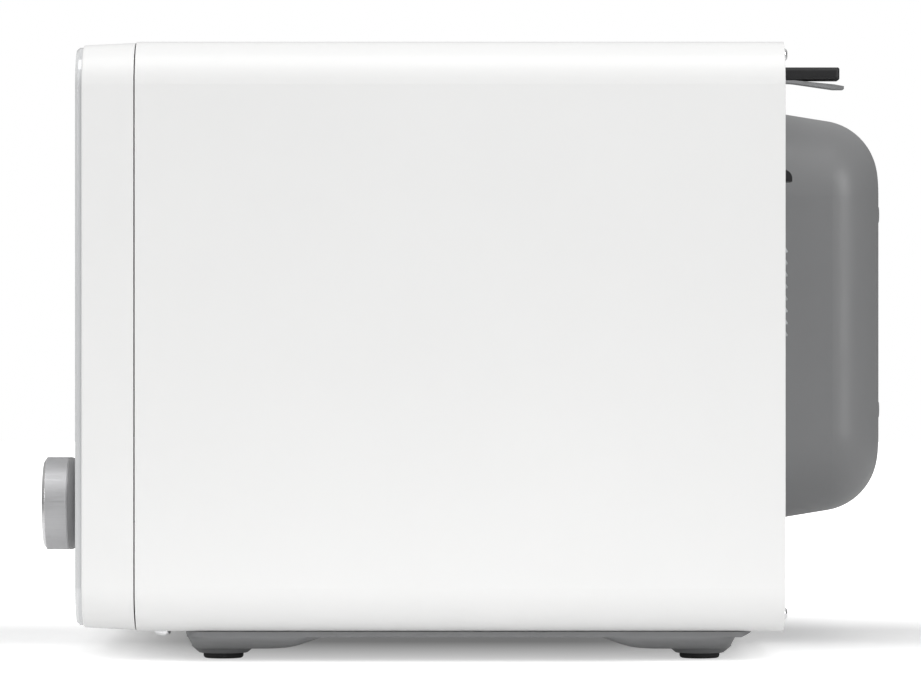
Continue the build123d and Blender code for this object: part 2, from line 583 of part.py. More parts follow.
# Relay, power pack and socket on the board: centre x and z from the board's lower middle, half width,
# half height and depth
BOARD_ITEMS = ((-21.0, 54.0, 9.0, 12.0, 9.0), (17.0, 93.0, 13.0, 11.0, 7.0), (-16.0, 126.0, 12.0, 6.0, 5.0))
Y_ITEMS = Y_BOARD + BOARD_T
for x, z, half_x, half_z, deep in BOARD_ITEMS:
    board += block(X_CTRL + x - half_x, X_CTRL + x + half_x, Y_ITEMS, Y_ITEMS + deep,
                   BOARD_Z0 + z - half_z, BOARD_Z0 + z + half_z)
POST_R = 2.5
POST_IN = 5.0
POST_LOW = 34.0
for side in (-1, 1):
    for z in (BOARD_Z0 + POST_LOW, BOARD_Z1 - POST_IN):
        control_frame += rod_y(X_CTRL + side * (BOARD_HALF - POST_IN), z, Y_FRAME + PAST, Y_BOARD, POST_R)

# Door release lever turning on a rod inside the control frame
LEVER_X0 = HOOK_X - HOOK_T / 2
LEVER_X1 = 154.0
ROD_X0 = X_CTRL_L + FRAME_WALL
LEVER_EYE_X0 = ROD_X0 + RUN
ROD_HOLD = 4.0
ROD_X1 = LEVER_X1 + ROD_HOLD
EYE_WALL = 2.0
ARM_HALF = 1.5
FINGER_HALF = 2.0
FINGER_BEHIND = 8.0
FINGER_GAP = 3.5
FINGER_Y = Y_SEAM + FINGER_BEHIND
FINGER_TOP = HOOK_ZS[0] - HOOK_DROP - FINGER_GAP
lever = rod_x(PIVOT_Y, PIVOT_Z, LEVER_EYE_X0, LEVER_X1, PIVOT_R + EYE_WALL)
lever += block(STEM_X - STEM_HALF, STEM_X + STEM_HALF, STEM_END + LEVER_GAP, STEM_END + LEVER_GAP + LEVER_T,
               BTN_STEM_Z - STEM_HALF, PIVOT_Z)
lever += block(LEVER_EYE_X0, LEVER_EYE_X0 + LEVER_T, PIVOT_Y, FINGER_Y + FINGER_HALF,
               PIVOT_Z - ARM_HALF, PIVOT_Z + ARM_HALF)
lever += block(LEVER_X0, LEVER_EYE_X0 + LEVER_T, FINGER_Y - FINGER_HALF, FINGER_Y + FINGER_HALF,
               PIVOT_Z - ARM_HALF, PIVOT_Z + ARM_HALF)
lever += block(LEVER_X0, LEVER_X0 + LEVER_T, FINGER_Y - FINGER_HALF, FINGER_Y + FINGER_HALF, PIVOT_Z, FINGER_TOP)
lever -= rod_x(PIVOT_Y, PIVOT_Z, ROD_X0 - PAST, LEVER_X1 + PAST, PIVOT_R + FIT)
lever_pin = rod_x(PIVOT_Y, PIVOT_Z, ROD_X0, ROD_X1, PIVOT_R)
control_frame += block(LEVER_X1 + RUN, ROD_X1, Y_FRAME + PAST, PIVOT_Y + ROD_HOLD, PIVOT_Z - ROD_HOLD, PIVOT_Z + ROD_HOLD)
control_frame -= rod_x(PIVOT_Y, PIVOT_Z, ROD_X0, ROD_X1 + PAST, PIVOT_R)
ARM_CUT_X = 5.0
ARM_CUT_LOW = 4.0
ARM_CUT_HIGH = 8.0
front_plate -= block(ROD_X0 - PAST, ROD_X0 + ARM_CUT_X, Y_SEAM - PAST, Y_PLATE + PAST,
                     PIVOT_Z - ARM_CUT_LOW, PIVOT_Z + ARM_CUT_HIGH)
save("lever_pin", lever_pin)
save("knob_ring", ring)
save("knob_face", face)
save("knob_body", knob)
save("knob_base", knob_base)
save("encoder_shaft", shaft)
save("encoder_slider", slider)
save("encoder_body", encoder)
save("open_button", button)
save("control_frame", control_frame)
save("control_glass", control_glass)
save("display_module", display)
save("control_board", board)
save("release_lever", lever)

# Door hinge axis
HINGE_IN = 8.0
HINGE_BACK = 10.0
HINGE_X = -HALF_W + HINGE_IN
HINGE_Y = Y_BACK - HINGE_BACK
PIN_R = 2.5
TAB_T = 2.0
TAB_HALF = 4.5
TAB_IN = 18.0
TAB_LOW = Z_BOTTOM + TAB_IN
TAB_HIGH = Z_TOP - TAB_IN
PIN_LEN = 12.0
TAB_SLOT = 0.4
SWING_SIDE = 0.8
SWING_FRONT = 3.0
PIN_END = 1.0

# Door frame: white moulding round the door
WIN_X0 = -222.0
WIN_X1 = 92.0
WIN_Z0 = 52.0
WIN_Z1 = 246.0
WIN_R = 12.0
door_frame = (front_body & DOOR_SIDE)
back_edge = block(-BIG, HINGE_X, HINGE_Y, Y_BACK + PAST, -BIG, BIG)
round_edge = rod_z(HINGE_X, HINGE_Y, Z_BOTTOM - PAST, Z_TOP + PAST, HINGE_IN)
door_frame -= back_edge - round_edge
door_frame -= (front_inner & DOOR_INNER) & block(HINGE_X + HINGE_IN, BIG, -BIG, BIG, -BIG, BIG)
window = block(WIN_X0, WIN_X1, Y_FRAME - PAST, Y_FRAME + FRAME_WALL + PAST, WIN_Z0, WIN_Z1)
window = fillet(window.edges().filter_by(Axis.Y), WIN_R)
door_frame -= window


def tab_slot(z0, z1):
    """Slot that clears a hinge tab over the whole swing."""
    return block(-HALF_W - PAST, HINGE_X + TAB_HALF + SWING_SIDE, HINGE_Y - TAB_HALF - SWING_FRONT,
                 Y_BACK + PAST, z0, z1)


door_frame -= tab_slot(TAB_LOW - TAB_SLOT, TAB_LOW + TAB_T + TAB_SLOT)
door_frame -= tab_slot(TAB_HIGH - TAB_T - TAB_SLOT, TAB_HIGH + TAB_SLOT)
door_frame -= rod_z(HINGE_X, HINGE_Y, TAB_LOW, TAB_LOW + TAB_T + PIN_LEN + PIN_END, PIN_R + FIT)
door_frame -= rod_z(HINGE_X, HINGE_Y, TAB_HIGH - TAB_T - PIN_LEN - PIN_END, TAB_HIGH, PIN_R + FIT)

# Hinge brackets behind the front plate, and their pins
LEAF_T = 2.0
LEAF_H = 26.0
LEAF_IN = 1.0
LEAF_OUT = 12.0
brackets = []
pins = []
for low in (True, False):
    z0 = TAB_LOW if low else TAB_HIGH - TAB_T
    bracket = block(HINGE_X - TAB_HALF, HINGE_X + TAB_HALF, HINGE_Y, Y_PLATE + LEAF_T, z0, z0 + TAB_T)
    bracket += rod_z(HINGE_X, HINGE_Y, z0, z0 + TAB_T, TAB_HALF)
    leaf0 = z0 if low else z0 + TAB_T - LEAF_H
    bracket += block(HINGE_X - TAB_HALF + LEAF_IN, HINGE_X + TAB_HALF + LEAF_OUT, Y_PLATE, Y_PLATE + LEAF_T,
                     leaf0, leaf0 + LEAF_H)
    brackets.append(bracket)
    pin0 = z0 + TAB_T if low else z0 - PIN_LEN
    pins.append(rod_z(HINGE_X, HINGE_Y, pin0, pin0 + PIN_LEN, PIN_R))
    front_plate -= block(HINGE_X - TAB_HALF - FIT, HINGE_X + TAB_HALF + FIT, Y_SEAM - PAST, Y_PLATE + PAST,
                         z0 - FIT, z0 + TAB_T + FIT)

# Door inner panel: pressed steel pan with a choke channel
DOOR_IN_X0 = HINGE_X + HINGE_IN + RUN
DOOR_IN_X1 = X_DOOR_R - FRAME_WALL - RUN
PAN_EDGE = 12.0
PAN_R = 10.0
DOOR_IN_Z0 = Z_BOTTOM + PAN_EDGE
DOOR_IN_Z1 = Z_TOP - PAN_EDGE
DOOR_SKIN = 0.8
RIM_IN = 3.0
Y_RIM = Y_BACK - RIM_IN
CHOKE_DEPTH = 14.0
CHOKE_W = 18.0
CHOKE_OUT = 6.0
CHOKE_R = 4.0
SCREEN_R = 1.0
CHOKE_X0 = CAV_X0 - CHOKE_OUT
CHOKE_X1 = CAV_X1 + CHOKE_OUT
CHOKE_Z0 = CAV_Z0 - CHOKE_OUT
CHOKE_Z1 = CAV_Z1 + CHOKE_OUT


def ring_y(x0, x1, z0, z1, t, y0, y1, r=CHOKE_R):
    """Rectangular frame of width t round an opening, from y0 to y1."""
    outer = block(x0 - t, x1 + t, y0, y1, z0 - t, z1 + t)
    outer = fillet(outer.edges().filter_by(Axis.Y), r + t)
    hole = block(x0, x1, y0 - PAST, y1 + PAST, z0, z1)
    hole = fillet(hole.edges().filter_by(Axis.Y), r)
    return outer - hole


SCR_X0 = CHOKE_X0 + CHOKE_W
SCR_X1 = CHOKE_X1 - CHOKE_W
SCR_Z0 = CHOKE_Z0 + CHOKE_W
SCR_Z1 = CHOKE_Z1 - CHOKE_W
pan = block(DOOR_IN_X0, DOOR_IN_X1, Y_RIM - DOOR_SKIN, Y_RIM, DOOR_IN_Z0, DOOR_IN_Z1)
pan = fillet(pan.edges().filter_by(Axis.Y), PAN_R)
pan -= block(CHOKE_X0, CHOKE_X1, Y_RIM - 2 * PAST, Y_RIM + PAST, CHOKE_Z0, CHOKE_Z1)
pan += ring_y(CHOKE_X0, CHOKE_X1, CHOKE_Z0, CHOKE_Z1, DOOR_SKIN, Y_RIM - CHOKE_DEPTH, Y_RIM)
floor_ring = block(CHOKE_X0, CHOKE_X1, Y_RIM - CHOKE_DEPTH, Y_RIM - CHOKE_DEPTH + DOOR_SKIN, CHOKE_Z0, CHOKE_Z1)
floor_ring -= block(SCR_X0, SCR_X1, Y_RIM - CHOKE_DEPTH - PAST, Y_RIM, SCR_Z0, SCR_Z1)
pan += floor_ring
pan += ring_y(SCR_X0, SCR_X1, SCR_Z0, SCR_Z1, DOOR_SKIN, Y_RIM - CHOKE_DEPTH, Y_RIM, SCREEN_R)

# Perforated screen across the window
HOLE_R = 2.6
HOLE_PITCH = 7.0
HOLE_EDGE = 12.0
Y_SCREEN = Y_RIM - DOOR_SKIN


def perforated(x0, x1, z0, z1, y, t, inset, pitch, hole_r):
    """Sheet facing -Y with rows of round holes."""
    rim = Wire.make_polygon([(x0, y, z0), (x1, y, z0), (x1, y, z1), (x0, y, z1)])
    nx = int((x1 - x0 - 2 * inset) / pitch)
    nz = int((z1 - z0 - 2 * inset) / pitch)
    cx = (x0 + x1) / 2
    cz = (z0 + z1) / 2
    holes = []
    for i in range(nx + 1):
        for j in range(nz + 1):
            x = cx + (i - nx / 2) * pitch
            z = cz + (j - nz / 2) * pitch
            plane = Plane(origin=(x, y, z), z_dir=(0, -1, 0))
            holes.append(Wire.make_circle(hole_r, plane))
    face = Face(rim, holes)
    return extrude(face, amount=t, dir=(0, 1, 0))


screen = perforated(SCR_X0, SCR_X1, SCR_Z0, SCR_Z1, Y_SCREEN, DOOR_SKIN, HOLE_EDGE, HOLE_PITCH, HOLE_R)

# Inner window sheet and the choke cover round it
SHEET_IN = 1.0
COVER_LAP = 9.0
inner_glass = block(SCR_X0, SCR_X1, Y_RIM, Y_BACK - SHEET_IN, SCR_Z0, SCR_Z1)
inner_glass = fillet(inner_glass.edges().filter_by(Axis.Y), CHOKE_R)
choke_cover = ring_y(SCR_X0, SCR_X1, SCR_Z0, SCR_Z1, CHOKE_W + COVER_LAP, Y_RIM, Y_BACK)
choke_cover &= block(DOOR_IN_X0, DOOR_IN_X1, -BIG, BIG, -BIG, BIG)
door_glass = glass_body & DOOR_SIDE

# Latch slide inside the door, with two hooks through the back
LATCH_IN = 17.0
LATCH_T = 4.0
LATCH_BELOW = 14.0
LATCH_ABOVE = 22.0
HOOK_REACH = 9.0
HOOK_NECK = 3.0
HOOK_ROOT = 1.0
HOOK_SIDE = 0.7
HOOK_RISE = 1.0
LATCH_Y0 = Y_BACK - LATCH_IN
LATCH_Y1 = LATCH_Y0 + LATCH_T
LATCH_Z0 = HOOK_ZS[0] - LATCH_BELOW
LATCH_Z1 = HOOK_ZS[1] + LATCH_ABOVE
HOOK_OUT = Y_PLATE + HOOK_REACH
HOOK_NOSE = 4.0
LATCH_W = 3.0
latch = block(HOOK_X - LATCH_W / 2, HOOK_X + LATCH_W / 2, LATCH_Y0, LATCH_Y1, LATCH_Z0, LATCH_Z1)
for z in HOOK_ZS:
    latch += block(HOOK_X - HOOK_T / 2, HOOK_X + HOOK_T / 2, LATCH_Y0 + HOOK_ROOT, HOOK_OUT, z + HOOK_NECK, z + HOOK_H)
    latch += block(HOOK_X - HOOK_T / 2, HOOK_X + HOOK_T / 2, HOOK_OUT - HOOK_NOSE, HOOK_OUT, z, z + HOOK_H)
for z in HOOK_ZS:
    cut_x0 = HOOK_X - HOOK_T / 2 - HOOK_SIDE
    cut_x1 = HOOK_X + HOOK_T / 2 + HOOK_SIDE
    cut_z1 = z + HOOK_H + HOOK_RISE
    pan -= block(cut_x0, cut_x1, Y_RIM - CHOKE_DEPTH - PAST, Y_RIM + PAST, z - HOOK_CATCH, cut_z1)
    choke_cover -= block(cut_x0, BIG, Y_RIM - PAST, Y_BACK + PAST, z - HOOK_CATCH, cut_z1)

# Guides that carry the latch slide
GUIDE_W = 3.0
GUIDE_H = 12.0
GUIDE_BACK = 2.0
GUIDE_AT = 30.0
for z in (LATCH_Z0 + GUIDE_AT, LATCH_Z1 - GUIDE_AT - GUIDE_H):
    guide = block(HOOK_X - LATCH_W / 2 - GUIDE_W, HOOK_X + LATCH_W / 2 + GUIDE_W, Y_FRAME + PAST,
                  LATCH_Y1 + GUIDE_BACK, z, z + GUIDE_H)
    guide -= block(HOOK_X - LATCH_W / 2 - FIT, HOOK_X + LATCH_W / 2 + FIT, LATCH_Y0 - FIT, LATCH_Y1 + FIT,
                   z - PAST, z + GUIDE_H + PAST)
    door_frame += guide

# Posts that hold the inner panel
DOOR_POST_R = 3.0
DOOR_POST_IN = 6.0
LATCH_POST_IN = 22.0
for x in (DOOR_IN_X0 + DOOR_POST_IN, CAV_X, DOOR_IN_X1 - LATCH_POST_IN):
    for z in (DOOR_IN_Z0 + DOOR_POST_IN, DOOR_IN_Z1 - DOOR_POST_IN):
        door_frame += rod_y(x, z, Y_FRAME + PAST, Y_RIM - DOOR_SKIN, DOOR_POST_R)
save("door_frame", door_frame)
save("door_glass", door_glass)
save("door_panel", pan)
save("door_screen", screen)
save("inner_window", inner_glass)
save("choke_cover", choke_cover)
save("door_latch", latch)
save("hinge_brackets", brackets)
save("hinge_pins", pins)

# Oven cavity: enamelled box behind the front plate
CAV_BEHIND = 26.0
Y_CAV = Y_REAR - CAV_BEHIND
Y_CAV_MID = (Y_PLATE + Y_CAV) / 2
FAN_Z = 160.0
cavity = block(CAV_X0 - CAV_SKIN, CAV_X1 + CAV_SKIN, Y_PLATE, Y_CAV, CAV_Z0 - CAV_SKIN, CAV_Z1 + CAV_SKIN)
cavity = fillet(cavity.edges().filter_by(Axis.Y), CAV_R + CAV_SKIN)
room = block(CAV_X0, CAV_X1, Y_PLATE - PAST, Y_CAV + PAST, CAV_Z0, CAV_Z1)
room = fillet(room.edges().filter_by(Axis.Y), CAV_R)
cavity -= room
GRID = 10.0
GRID_R = 3.2
INTAKE_R = 58.0
OUTLET_R0 = 72.0
OUTLET_R1 = 88.0
back_rim = RectangleRounded(CAV_X1 - CAV_X0 + PAST, CAV_Z1 - CAV_Z0 + PAST, CAV_R)
back_rim = (Pos(CAV_X, Y_CAV, CAV_Z) * Rot(90, 0, 0) * back_rim).faces()[0].outer_wire()
air_holes = []
REACH = int(OUTLET_R1 / GRID) + 1
for i in range(-REACH, REACH + 1):
    for j in range(-REACH, REACH + 1):
        dist = (i * i + j * j) ** 0.5 * GRID
        if dist <= INTAKE_R or OUTLET_R0 <= dist <= OUTLET_R1:
            spot = Plane(origin=(CAV_X + i * GRID, Y_CAV, FAN_Z + j * GRID), z_dir=(0, -1, 0))
            air_holes.append(Wire.make_circle(GRID_R, spot))
back_wall = extrude(Face(back_rim, air_holes), amount=CAV_SKIN, dir=(0, -1, 0))
cavity += back_wall
COUPLE_R = 7.0
COUPLE_GAP = 1.0
cavity -= rod_z(CAV_X, Y_CAV_MID, CAV_Z0 - 2 * PAST, CAV_Z0 + PAST, COUPLE_R + COUPLE_GAP)
WG_Y0 = -12.0
WG_Y1 = 68.0
WG_Z0 = 120.0
WG_Z1 = 190.0
WG_EDGE = 8.0
cavity -= block(CAV_X1 - PAST, CAV_X1 + 2 * PAST, WG_Y0 + WG_EDGE, WG_Y1 - WG_EDGE, WG_Z0 + WG_EDGE, WG_Z1 - WG_EDGE)
LAMP_Y = -70.0
LAMP_Z = 205.0
LAMP_STEP = 6.5
LAMP_HOLE_R = 2.2
MICA_T = 1.0
for i in range(-2, 3):
    for j in range(-1, 2):
        cavity -= rod_x(LAMP_Y + i * LAMP_STEP, LAMP_Z + j * LAMP_STEP, CAV_X1 - PAST, CAV_X1 + 2 * PAST,
                        LAMP_HOLE_R)
waveguide_cover = block(CAV_X1 - MICA_T, CAV_X1, WG_Y0, WG_Y1, WG_Z0, WG_Z1)

# Lamp outside the perforated patch of the wall
X_SIDE = CAV_X1 + CAV_SKIN
LAMP_L = 20.0
LAMP_HALF_Y = 18.0
LAMP_HALF_Z = 12.0
LAMP_SKIN = 2.0
BULB_R = 6.0
BULB_IN = 4.0
LAMP_IN_Y = LAMP_HALF_Y - LAMP_SKIN
LAMP_IN_Z = LAMP_HALF_Z - LAMP_SKIN
lamp = block(X_SIDE, X_SIDE + LAMP_L, LAMP_Y - LAMP_HALF_Y, LAMP_Y + LAMP_HALF_Y,
             LAMP_Z - LAMP_HALF_Z, LAMP_Z + LAMP_HALF_Z)
lamp -= block(X_SIDE - PAST, X_SIDE + LAMP_L - LAMP_SKIN, LAMP_Y - LAMP_IN_Y, LAMP_Y + LAMP_IN_Y,
              LAMP_Z - LAMP_IN_Z, LAMP_Z + LAMP_IN_Z)
lamp += rod_x(LAMP_Y, LAMP_Z, X_SIDE + BULB_IN, X_SIDE + LAMP_L - PAST, BULB_R)

# Grill tube looped under the ceiling
TUBE_R = 3.4
GRILL_BELOW = 16.0
GRILL_SIDE = 40.0
GRILL_OUT = 8.0
GRILL_BEND = 14.0
GRILL_Z = CAV_Z1 - GRILL_BELOW
GRILL_X0 = CAV_X0 + GRILL_SIDE
GRILL_YS = (-78.0, -42.0, -6.0, 30.0)
GRILL_TURN = CAV_X1 - GRILL_SIDE
GRILL_END = X_SIDE + GRILL_OUT
path = FilletPolyline((GRILL_END, GRILL_YS[0], GRILL_Z), (GRILL_X0, GRILL_YS[0], GRILL_Z),
                      (GRILL_X0, GRILL_YS[1], GRILL_Z), (GRILL_TURN, GRILL_YS[1], GRILL_Z),
                      (GRILL_TURN, GRILL_YS[2], GRILL_Z), (GRILL_X0, GRILL_YS[2], GRILL_Z),
                      (GRILL_X0, GRILL_YS[3], GRILL_Z), (GRILL_END, GRILL_YS[3], GRILL_Z), radius=GRILL_BEND)
section = Plane(origin=path @ 0, z_dir=path % 0) * Circle(TUBE_R)
grill = sweep(section, path=path)
HANGER_T = 1.5
HANGER_HALF = 5.0
HANGER_LOW = 2.0
HANGER_OFF = 60.0
HANGER_X = CAV_X - HANGER_OFF
for y in (GRILL_YS[0], GRILL_YS[2]):
    grill += block(HANGER_X, HANGER_X + HANGER_T, y - HANGER_HALF, y + HANGER_HALF,
                   GRILL_Z - TUBE_R - HANGER_LOW, CAV_Z1)
for y in (GRILL_YS[0], GRILL_YS[3]):
    cavity -= rod_x(y, GRILL_Z, CAV_X1 - PAST, X_SIDE + PAST, TUBE_R + RUN)

# Turntable, roller ring and coupler
ROLL_R = 8.0
ROLL_W = 7.0
ROLL_LIFT = 0.2
RING_R = 92.0
RING_W = 3.0
RING_H = 5.0
ROLL_AT = 98.0
AXLE_R = 1.6
ROLL_Z = CAV_Z0 + ROLL_LIFT + ROLL_R
PLATE_BASE = ROLL_Z + ROLL_R + ROLL_LIFT
TABLE_R = 134.0
TABLE_T = 4.5
TABLE_RIM_H = 11.0
TABLE_RIM_T = 4.0
TABLE_FLARE = 6.0
TABLE_COVE = 1.5
TABLE_EDGE_R = 1.2
TABLE_IN_R = TABLE_R - TABLE_FLARE
table = rod_z(CAV_X, Y_CAV_MID, PLATE_BASE, PLATE_BASE + TABLE_T, TABLE_IN_R)
rim = frustum(CAV_X, Y_CAV_MID, PLATE_BASE, PLATE_BASE + TABLE_RIM_H, TABLE_IN_R, TABLE_R)
rim -= frustum(CAV_X, Y_CAV_MID, PLATE_BASE + TABLE_T, PLATE_BASE + TABLE_RIM_H + FIT,
               TABLE_IN_R - TABLE_RIM_T + TABLE_COVE, TABLE_R - TABLE_RIM_T)
table += rim
table = fillet(table.edges().group_by(Axis.Z)[-1], TABLE_EDGE_R)
COUPLE_DEEP = 5.0
ARM_L = 20.0
ARM_W = 3.5
ARM_H = 6.0
coupler = rod_z(CAV_X, Y_CAV_MID, CAV_Z0 - COUPLE_DEEP, PLATE_BASE, COUPLE_R)
for k in range(3):
    arm = block(0, ARM_L, -ARM_W, ARM_W, PLATE_BASE - ARM_H, PLATE_BASE)
    coupler += Pos(CAV_X, Y_CAV_MID, 0) * Rot(0, 0, 120 * k) * arm
roller_ring = rod_z(CAV_X, Y_CAV_MID, ROLL_Z - RING_H / 2, ROLL_Z + RING_H / 2, RING_R)
roller_ring -= rod_z(CAV_X, Y_CAV_MID, ROLL_Z - RING_H, ROLL_Z + RING_H, RING_R - RING_W)
AXLE_END = 1.5
ROLL_EDGE = 0.8
rollers = []
for k in range(3):
    place = Pos(CAV_X, Y_CAV_MID, 0) * Rot(0, 0, 90 + 120 * k)
    roller_ring += place * rod_x(0, ROLL_Z, RING_R - RING_W / 2, ROLL_AT + ROLL_W / 2 + AXLE_END, AXLE_R)
    roller = rod_x(0, ROLL_Z, ROLL_AT - ROLL_W / 2, ROLL_AT + ROLL_W / 2, ROLL_R)
    roller = chamfer(roller.edges().filter_by(GeomType.CIRCLE), ROLL_EDGE)
    roller -= rod_x(0, ROLL_Z, ROLL_AT - ROLL_W, ROLL_AT + ROLL_W, AXLE_R + FIT)
    rollers.append(place * roller)
MOTOR_R = 24.0
MOTOR_H = 15.0
MOTOR_EAR = 32.0
MOTOR_EAR_W = 7.0
MOTOR_EAR_T = 1.5
MOTOR_PLAY = 0.5
Z_UNDER = CAV_Z0 - CAV_SKIN
table_motor = rod_z(CAV_X, Y_CAV_MID, Z_UNDER - MOTOR_H, Z_UNDER, MOTOR_R)
table_motor += block(CAV_X - MOTOR_EAR, CAV_X + MOTOR_EAR, Y_CAV_MID - MOTOR_EAR_W, Y_CAV_MID + MOTOR_EAR_W,
                     Z_UNDER - MOTOR_EAR_T, Z_UNDER)
table_motor -= rod_z(CAV_X, Y_CAV_MID, CAV_Z0 - COUPLE_DEEP - MOTOR_PLAY, CAV_Z0, COUPLE_R + RUN)

# Convection fan, heater ring and their housing behind the cavity
DISH_HALF_X = 100.0
DISH_HALF_Z = 78.0
DISH_DEPTH = 38.0
DISH_R = 30.0
DISH_RIM = 8.0
DISH_HOLE_R = 6.0
Y_DISH = Y_CAV + DISH_DEPTH


def dish_box(shrink, y0, y1):
    """Rounded box of the fan housing."""
    shape = block(CAV_X - DISH_HALF_X + shrink, CAV_X + DISH_HALF_X - shrink, y0, y1,
                  FAN_Z - DISH_HALF_Z + shrink, FAN_Z + DISH_HALF_Z - shrink)
    return fillet(shape.edges().filter_by(Axis.Y), DISH_R - shrink)


dish = dish_box(0, Y_CAV, Y_DISH) - dish_box(CAV_SKIN, Y_CAV - PAST, Y_DISH - CAV_SKIN)
dish += dish_box(-DISH_RIM, Y_CAV, Y_CAV + CAV_SKIN) - dish_box(CAV_SKIN, Y_CAV - PAST, Y_CAV + 2 * PAST)
dish -= rod_y(CAV_X, FAN_Z, Y_DISH - 2 * PAST, Y_DISH + PAST, DISH_HOLE_R)
FAN_R = 62.0
FAN_DEPTH = 16.0
BLADES = 12
BLADE_T = 1.2
BLADE_IN = 27.0
HUB_R = 9.0
HUB_SET = 4.0
FAN_DISC_T = 1.2
FAN_SHAFT_R = 3.0
FAN_AT = 10.0
SHAFT_OUT = 6.0
FAN_Y0 = Y_CAV + FAN_AT
FAN_Y1 = FAN_Y0 + FAN_DEPTH
conv_fan = rod_y(CAV_X, FAN_Z, FAN_Y1 - FAN_DISC_T, FAN_Y1, FAN_R)
conv_fan += rod_y(CAV_X, FAN_Z, FAN_Y0 + HUB_SET, FAN_Y1 + HUB_SET, HUB_R)
for k in range(BLADES):
    blade = block(BLADE_IN, FAN_R - PAST, FAN_Y0, FAN_Y1, -BLADE_T / 2, BLADE_T / 2)
    conv_fan += Pos(CAV_X, 0, FAN_Z) * Rot(0, 360 * k / BLADES, 0) * blade
FAN_SHAFT_END = Y_DISH + SHAFT_OUT
conv_fan += rod_y(CAV_X, FAN_Z, FAN_Y0 + HUB_SET + PAST, FAN_SHAFT_END, FAN_SHAFT_R)
HEAT_RING_R = 71.0
HEAT_TUBE_R = 3.0
HEAT_Y = FAN_Y0 + FAN_DEPTH / 2
heater = Pos(CAV_X, HEAT_Y, FAN_Z) * Rot(90, 0, 0) * Torus(HEAT_RING_R, HEAT_TUBE_R)
LEG_X = 10.0
LEG_R = 2.2
LEG_OUT = 6.0
LEG_Z = (HEAT_RING_R ** 2 - LEG_X ** 2) ** 0.5
for side in (-1, 1):
    heater += rod_y(CAV_X + side * LEG_X, FAN_Z + LEG_Z, HEAT_Y, Y_DISH + LEG_OUT, LEG_R)
    dish -= rod_y(CAV_X + side * LEG_X, FAN_Z + LEG_Z, Y_DISH - 2 * PAST, Y_DISH + PAST, LEG_R + FIT)
FAN_MOTOR_R = 28.0
FAN_MOTOR_L = 26.0
STRAP_X = 40.0
STRAP_Z = 9.0
STRAP_SET = 2.0
STRAP_SKIN = 2.0
STUD_X = 34.0
STUD_R = 4.0
Y_STRAP = Y_DISH + STRAP_SET
Y_MOTOR = Y_STRAP + STRAP_SKIN
fan_motor = rod_y(CAV_X, FAN_Z, Y_MOTOR, Y_MOTOR + FAN_MOTOR_L, FAN_MOTOR_R)
fan_motor += block(CAV_X - STRAP_X, CAV_X + STRAP_X, Y_STRAP, Y_MOTOR, FAN_Z - STRAP_Z, FAN_Z + STRAP_Z)
for side in (-1, 1):
    fan_motor += rod_y(CAV_X + side * STUD_X, FAN_Z, Y_DISH, Y_STRAP + PAST, STUD_R)
fan_motor -= rod_y(CAV_X, FAN_Z, Y_DISH, FAN_SHAFT_END + PAST, FAN_SHAFT_R + FIT)

# Waveguide and magnetron beside the cavity
GUIDE_L = 24.0
GUIDE_SKIN = 1.0
BOX_X0 = X_SIDE + GUIDE_L
waveguide = block(X_SIDE, BOX_X0, WG_Y0, WG_Y1, WG_Z0, WG_Z1)
waveguide -= block(X_SIDE - PAST, BOX_X0 - GUIDE_SKIN, WG_Y0 + GUIDE_SKIN, WG_Y1 - GUIDE_SKIN,
                   WG_Z0 + GUIDE_SKIN, WG_Z1 - GUIDE_SKIN)
MAG_L = 76.0
MAG_FLANGE = 2.0
MAG_HALF_Y = 33.0
MAG_HALF_Z = 37.0
MAG_CASE_Y = 27.0
MAG_CASE_Z = 31.0
MAG_CORE_R = 16.0
MAG_TAIL = 22.0
MAG_TAIL_Y = 23.0
MAG_TAIL_Z = 23.0
FINS = 7
FIN_T = 1.0
FIN_STEP = 8.0
FIN_START = 12.0
FIN_IN = 2.0
MAG_Y = (WG_Y0 + WG_Y1) / 2
MAG_Z = (WG_Z0 + WG_Z1) / 2
MAG_X0 = BOX_X0 + MAG_FLANGE
MAG_X1 = BOX_X0 + MAG_L
magnetron = block(BOX_X0, MAG_X0, MAG_Y - MAG_HALF_Y, MAG_Y + MAG_HALF_Y, MAG_Z - MAG_HALF_Z, MAG_Z + MAG_HALF_Z)
for z in (MAG_Z - MAG_CASE_Z, MAG_Z + MAG_CASE_Z - MAG_FLANGE):
    magnetron += block(MAG_X0, MAG_X1, MAG_Y - MAG_CASE_Y, MAG_Y + MAG_CASE_Y, z, z + MAG_FLANGE)
magnetron += rod_x(MAG_Y, MAG_Z, MAG_X0 - PAST, MAG_X1 + MAG_TAIL / 2, MAG_CORE_R)
for i in range(FINS):
    x = BOX_X0 + FIN_START + FIN_STEP * i
    magnetron += block(x, x + FIN_T, MAG_Y - MAG_CASE_Y + FIN_IN, MAG_Y + MAG_CASE_Y - FIN_IN,
                       MAG_Z - MAG_CASE_Z + PAST, MAG_Z + MAG_CASE_Z - PAST)
magnetron += block(MAG_X1, MAG_X1 + MAG_TAIL, MAG_Y - MAG_TAIL_Y, MAG_Y + MAG_TAIL_Y,
                   MAG_Z - MAG_TAIL_Z, MAG_Z + MAG_TAIL_Z)

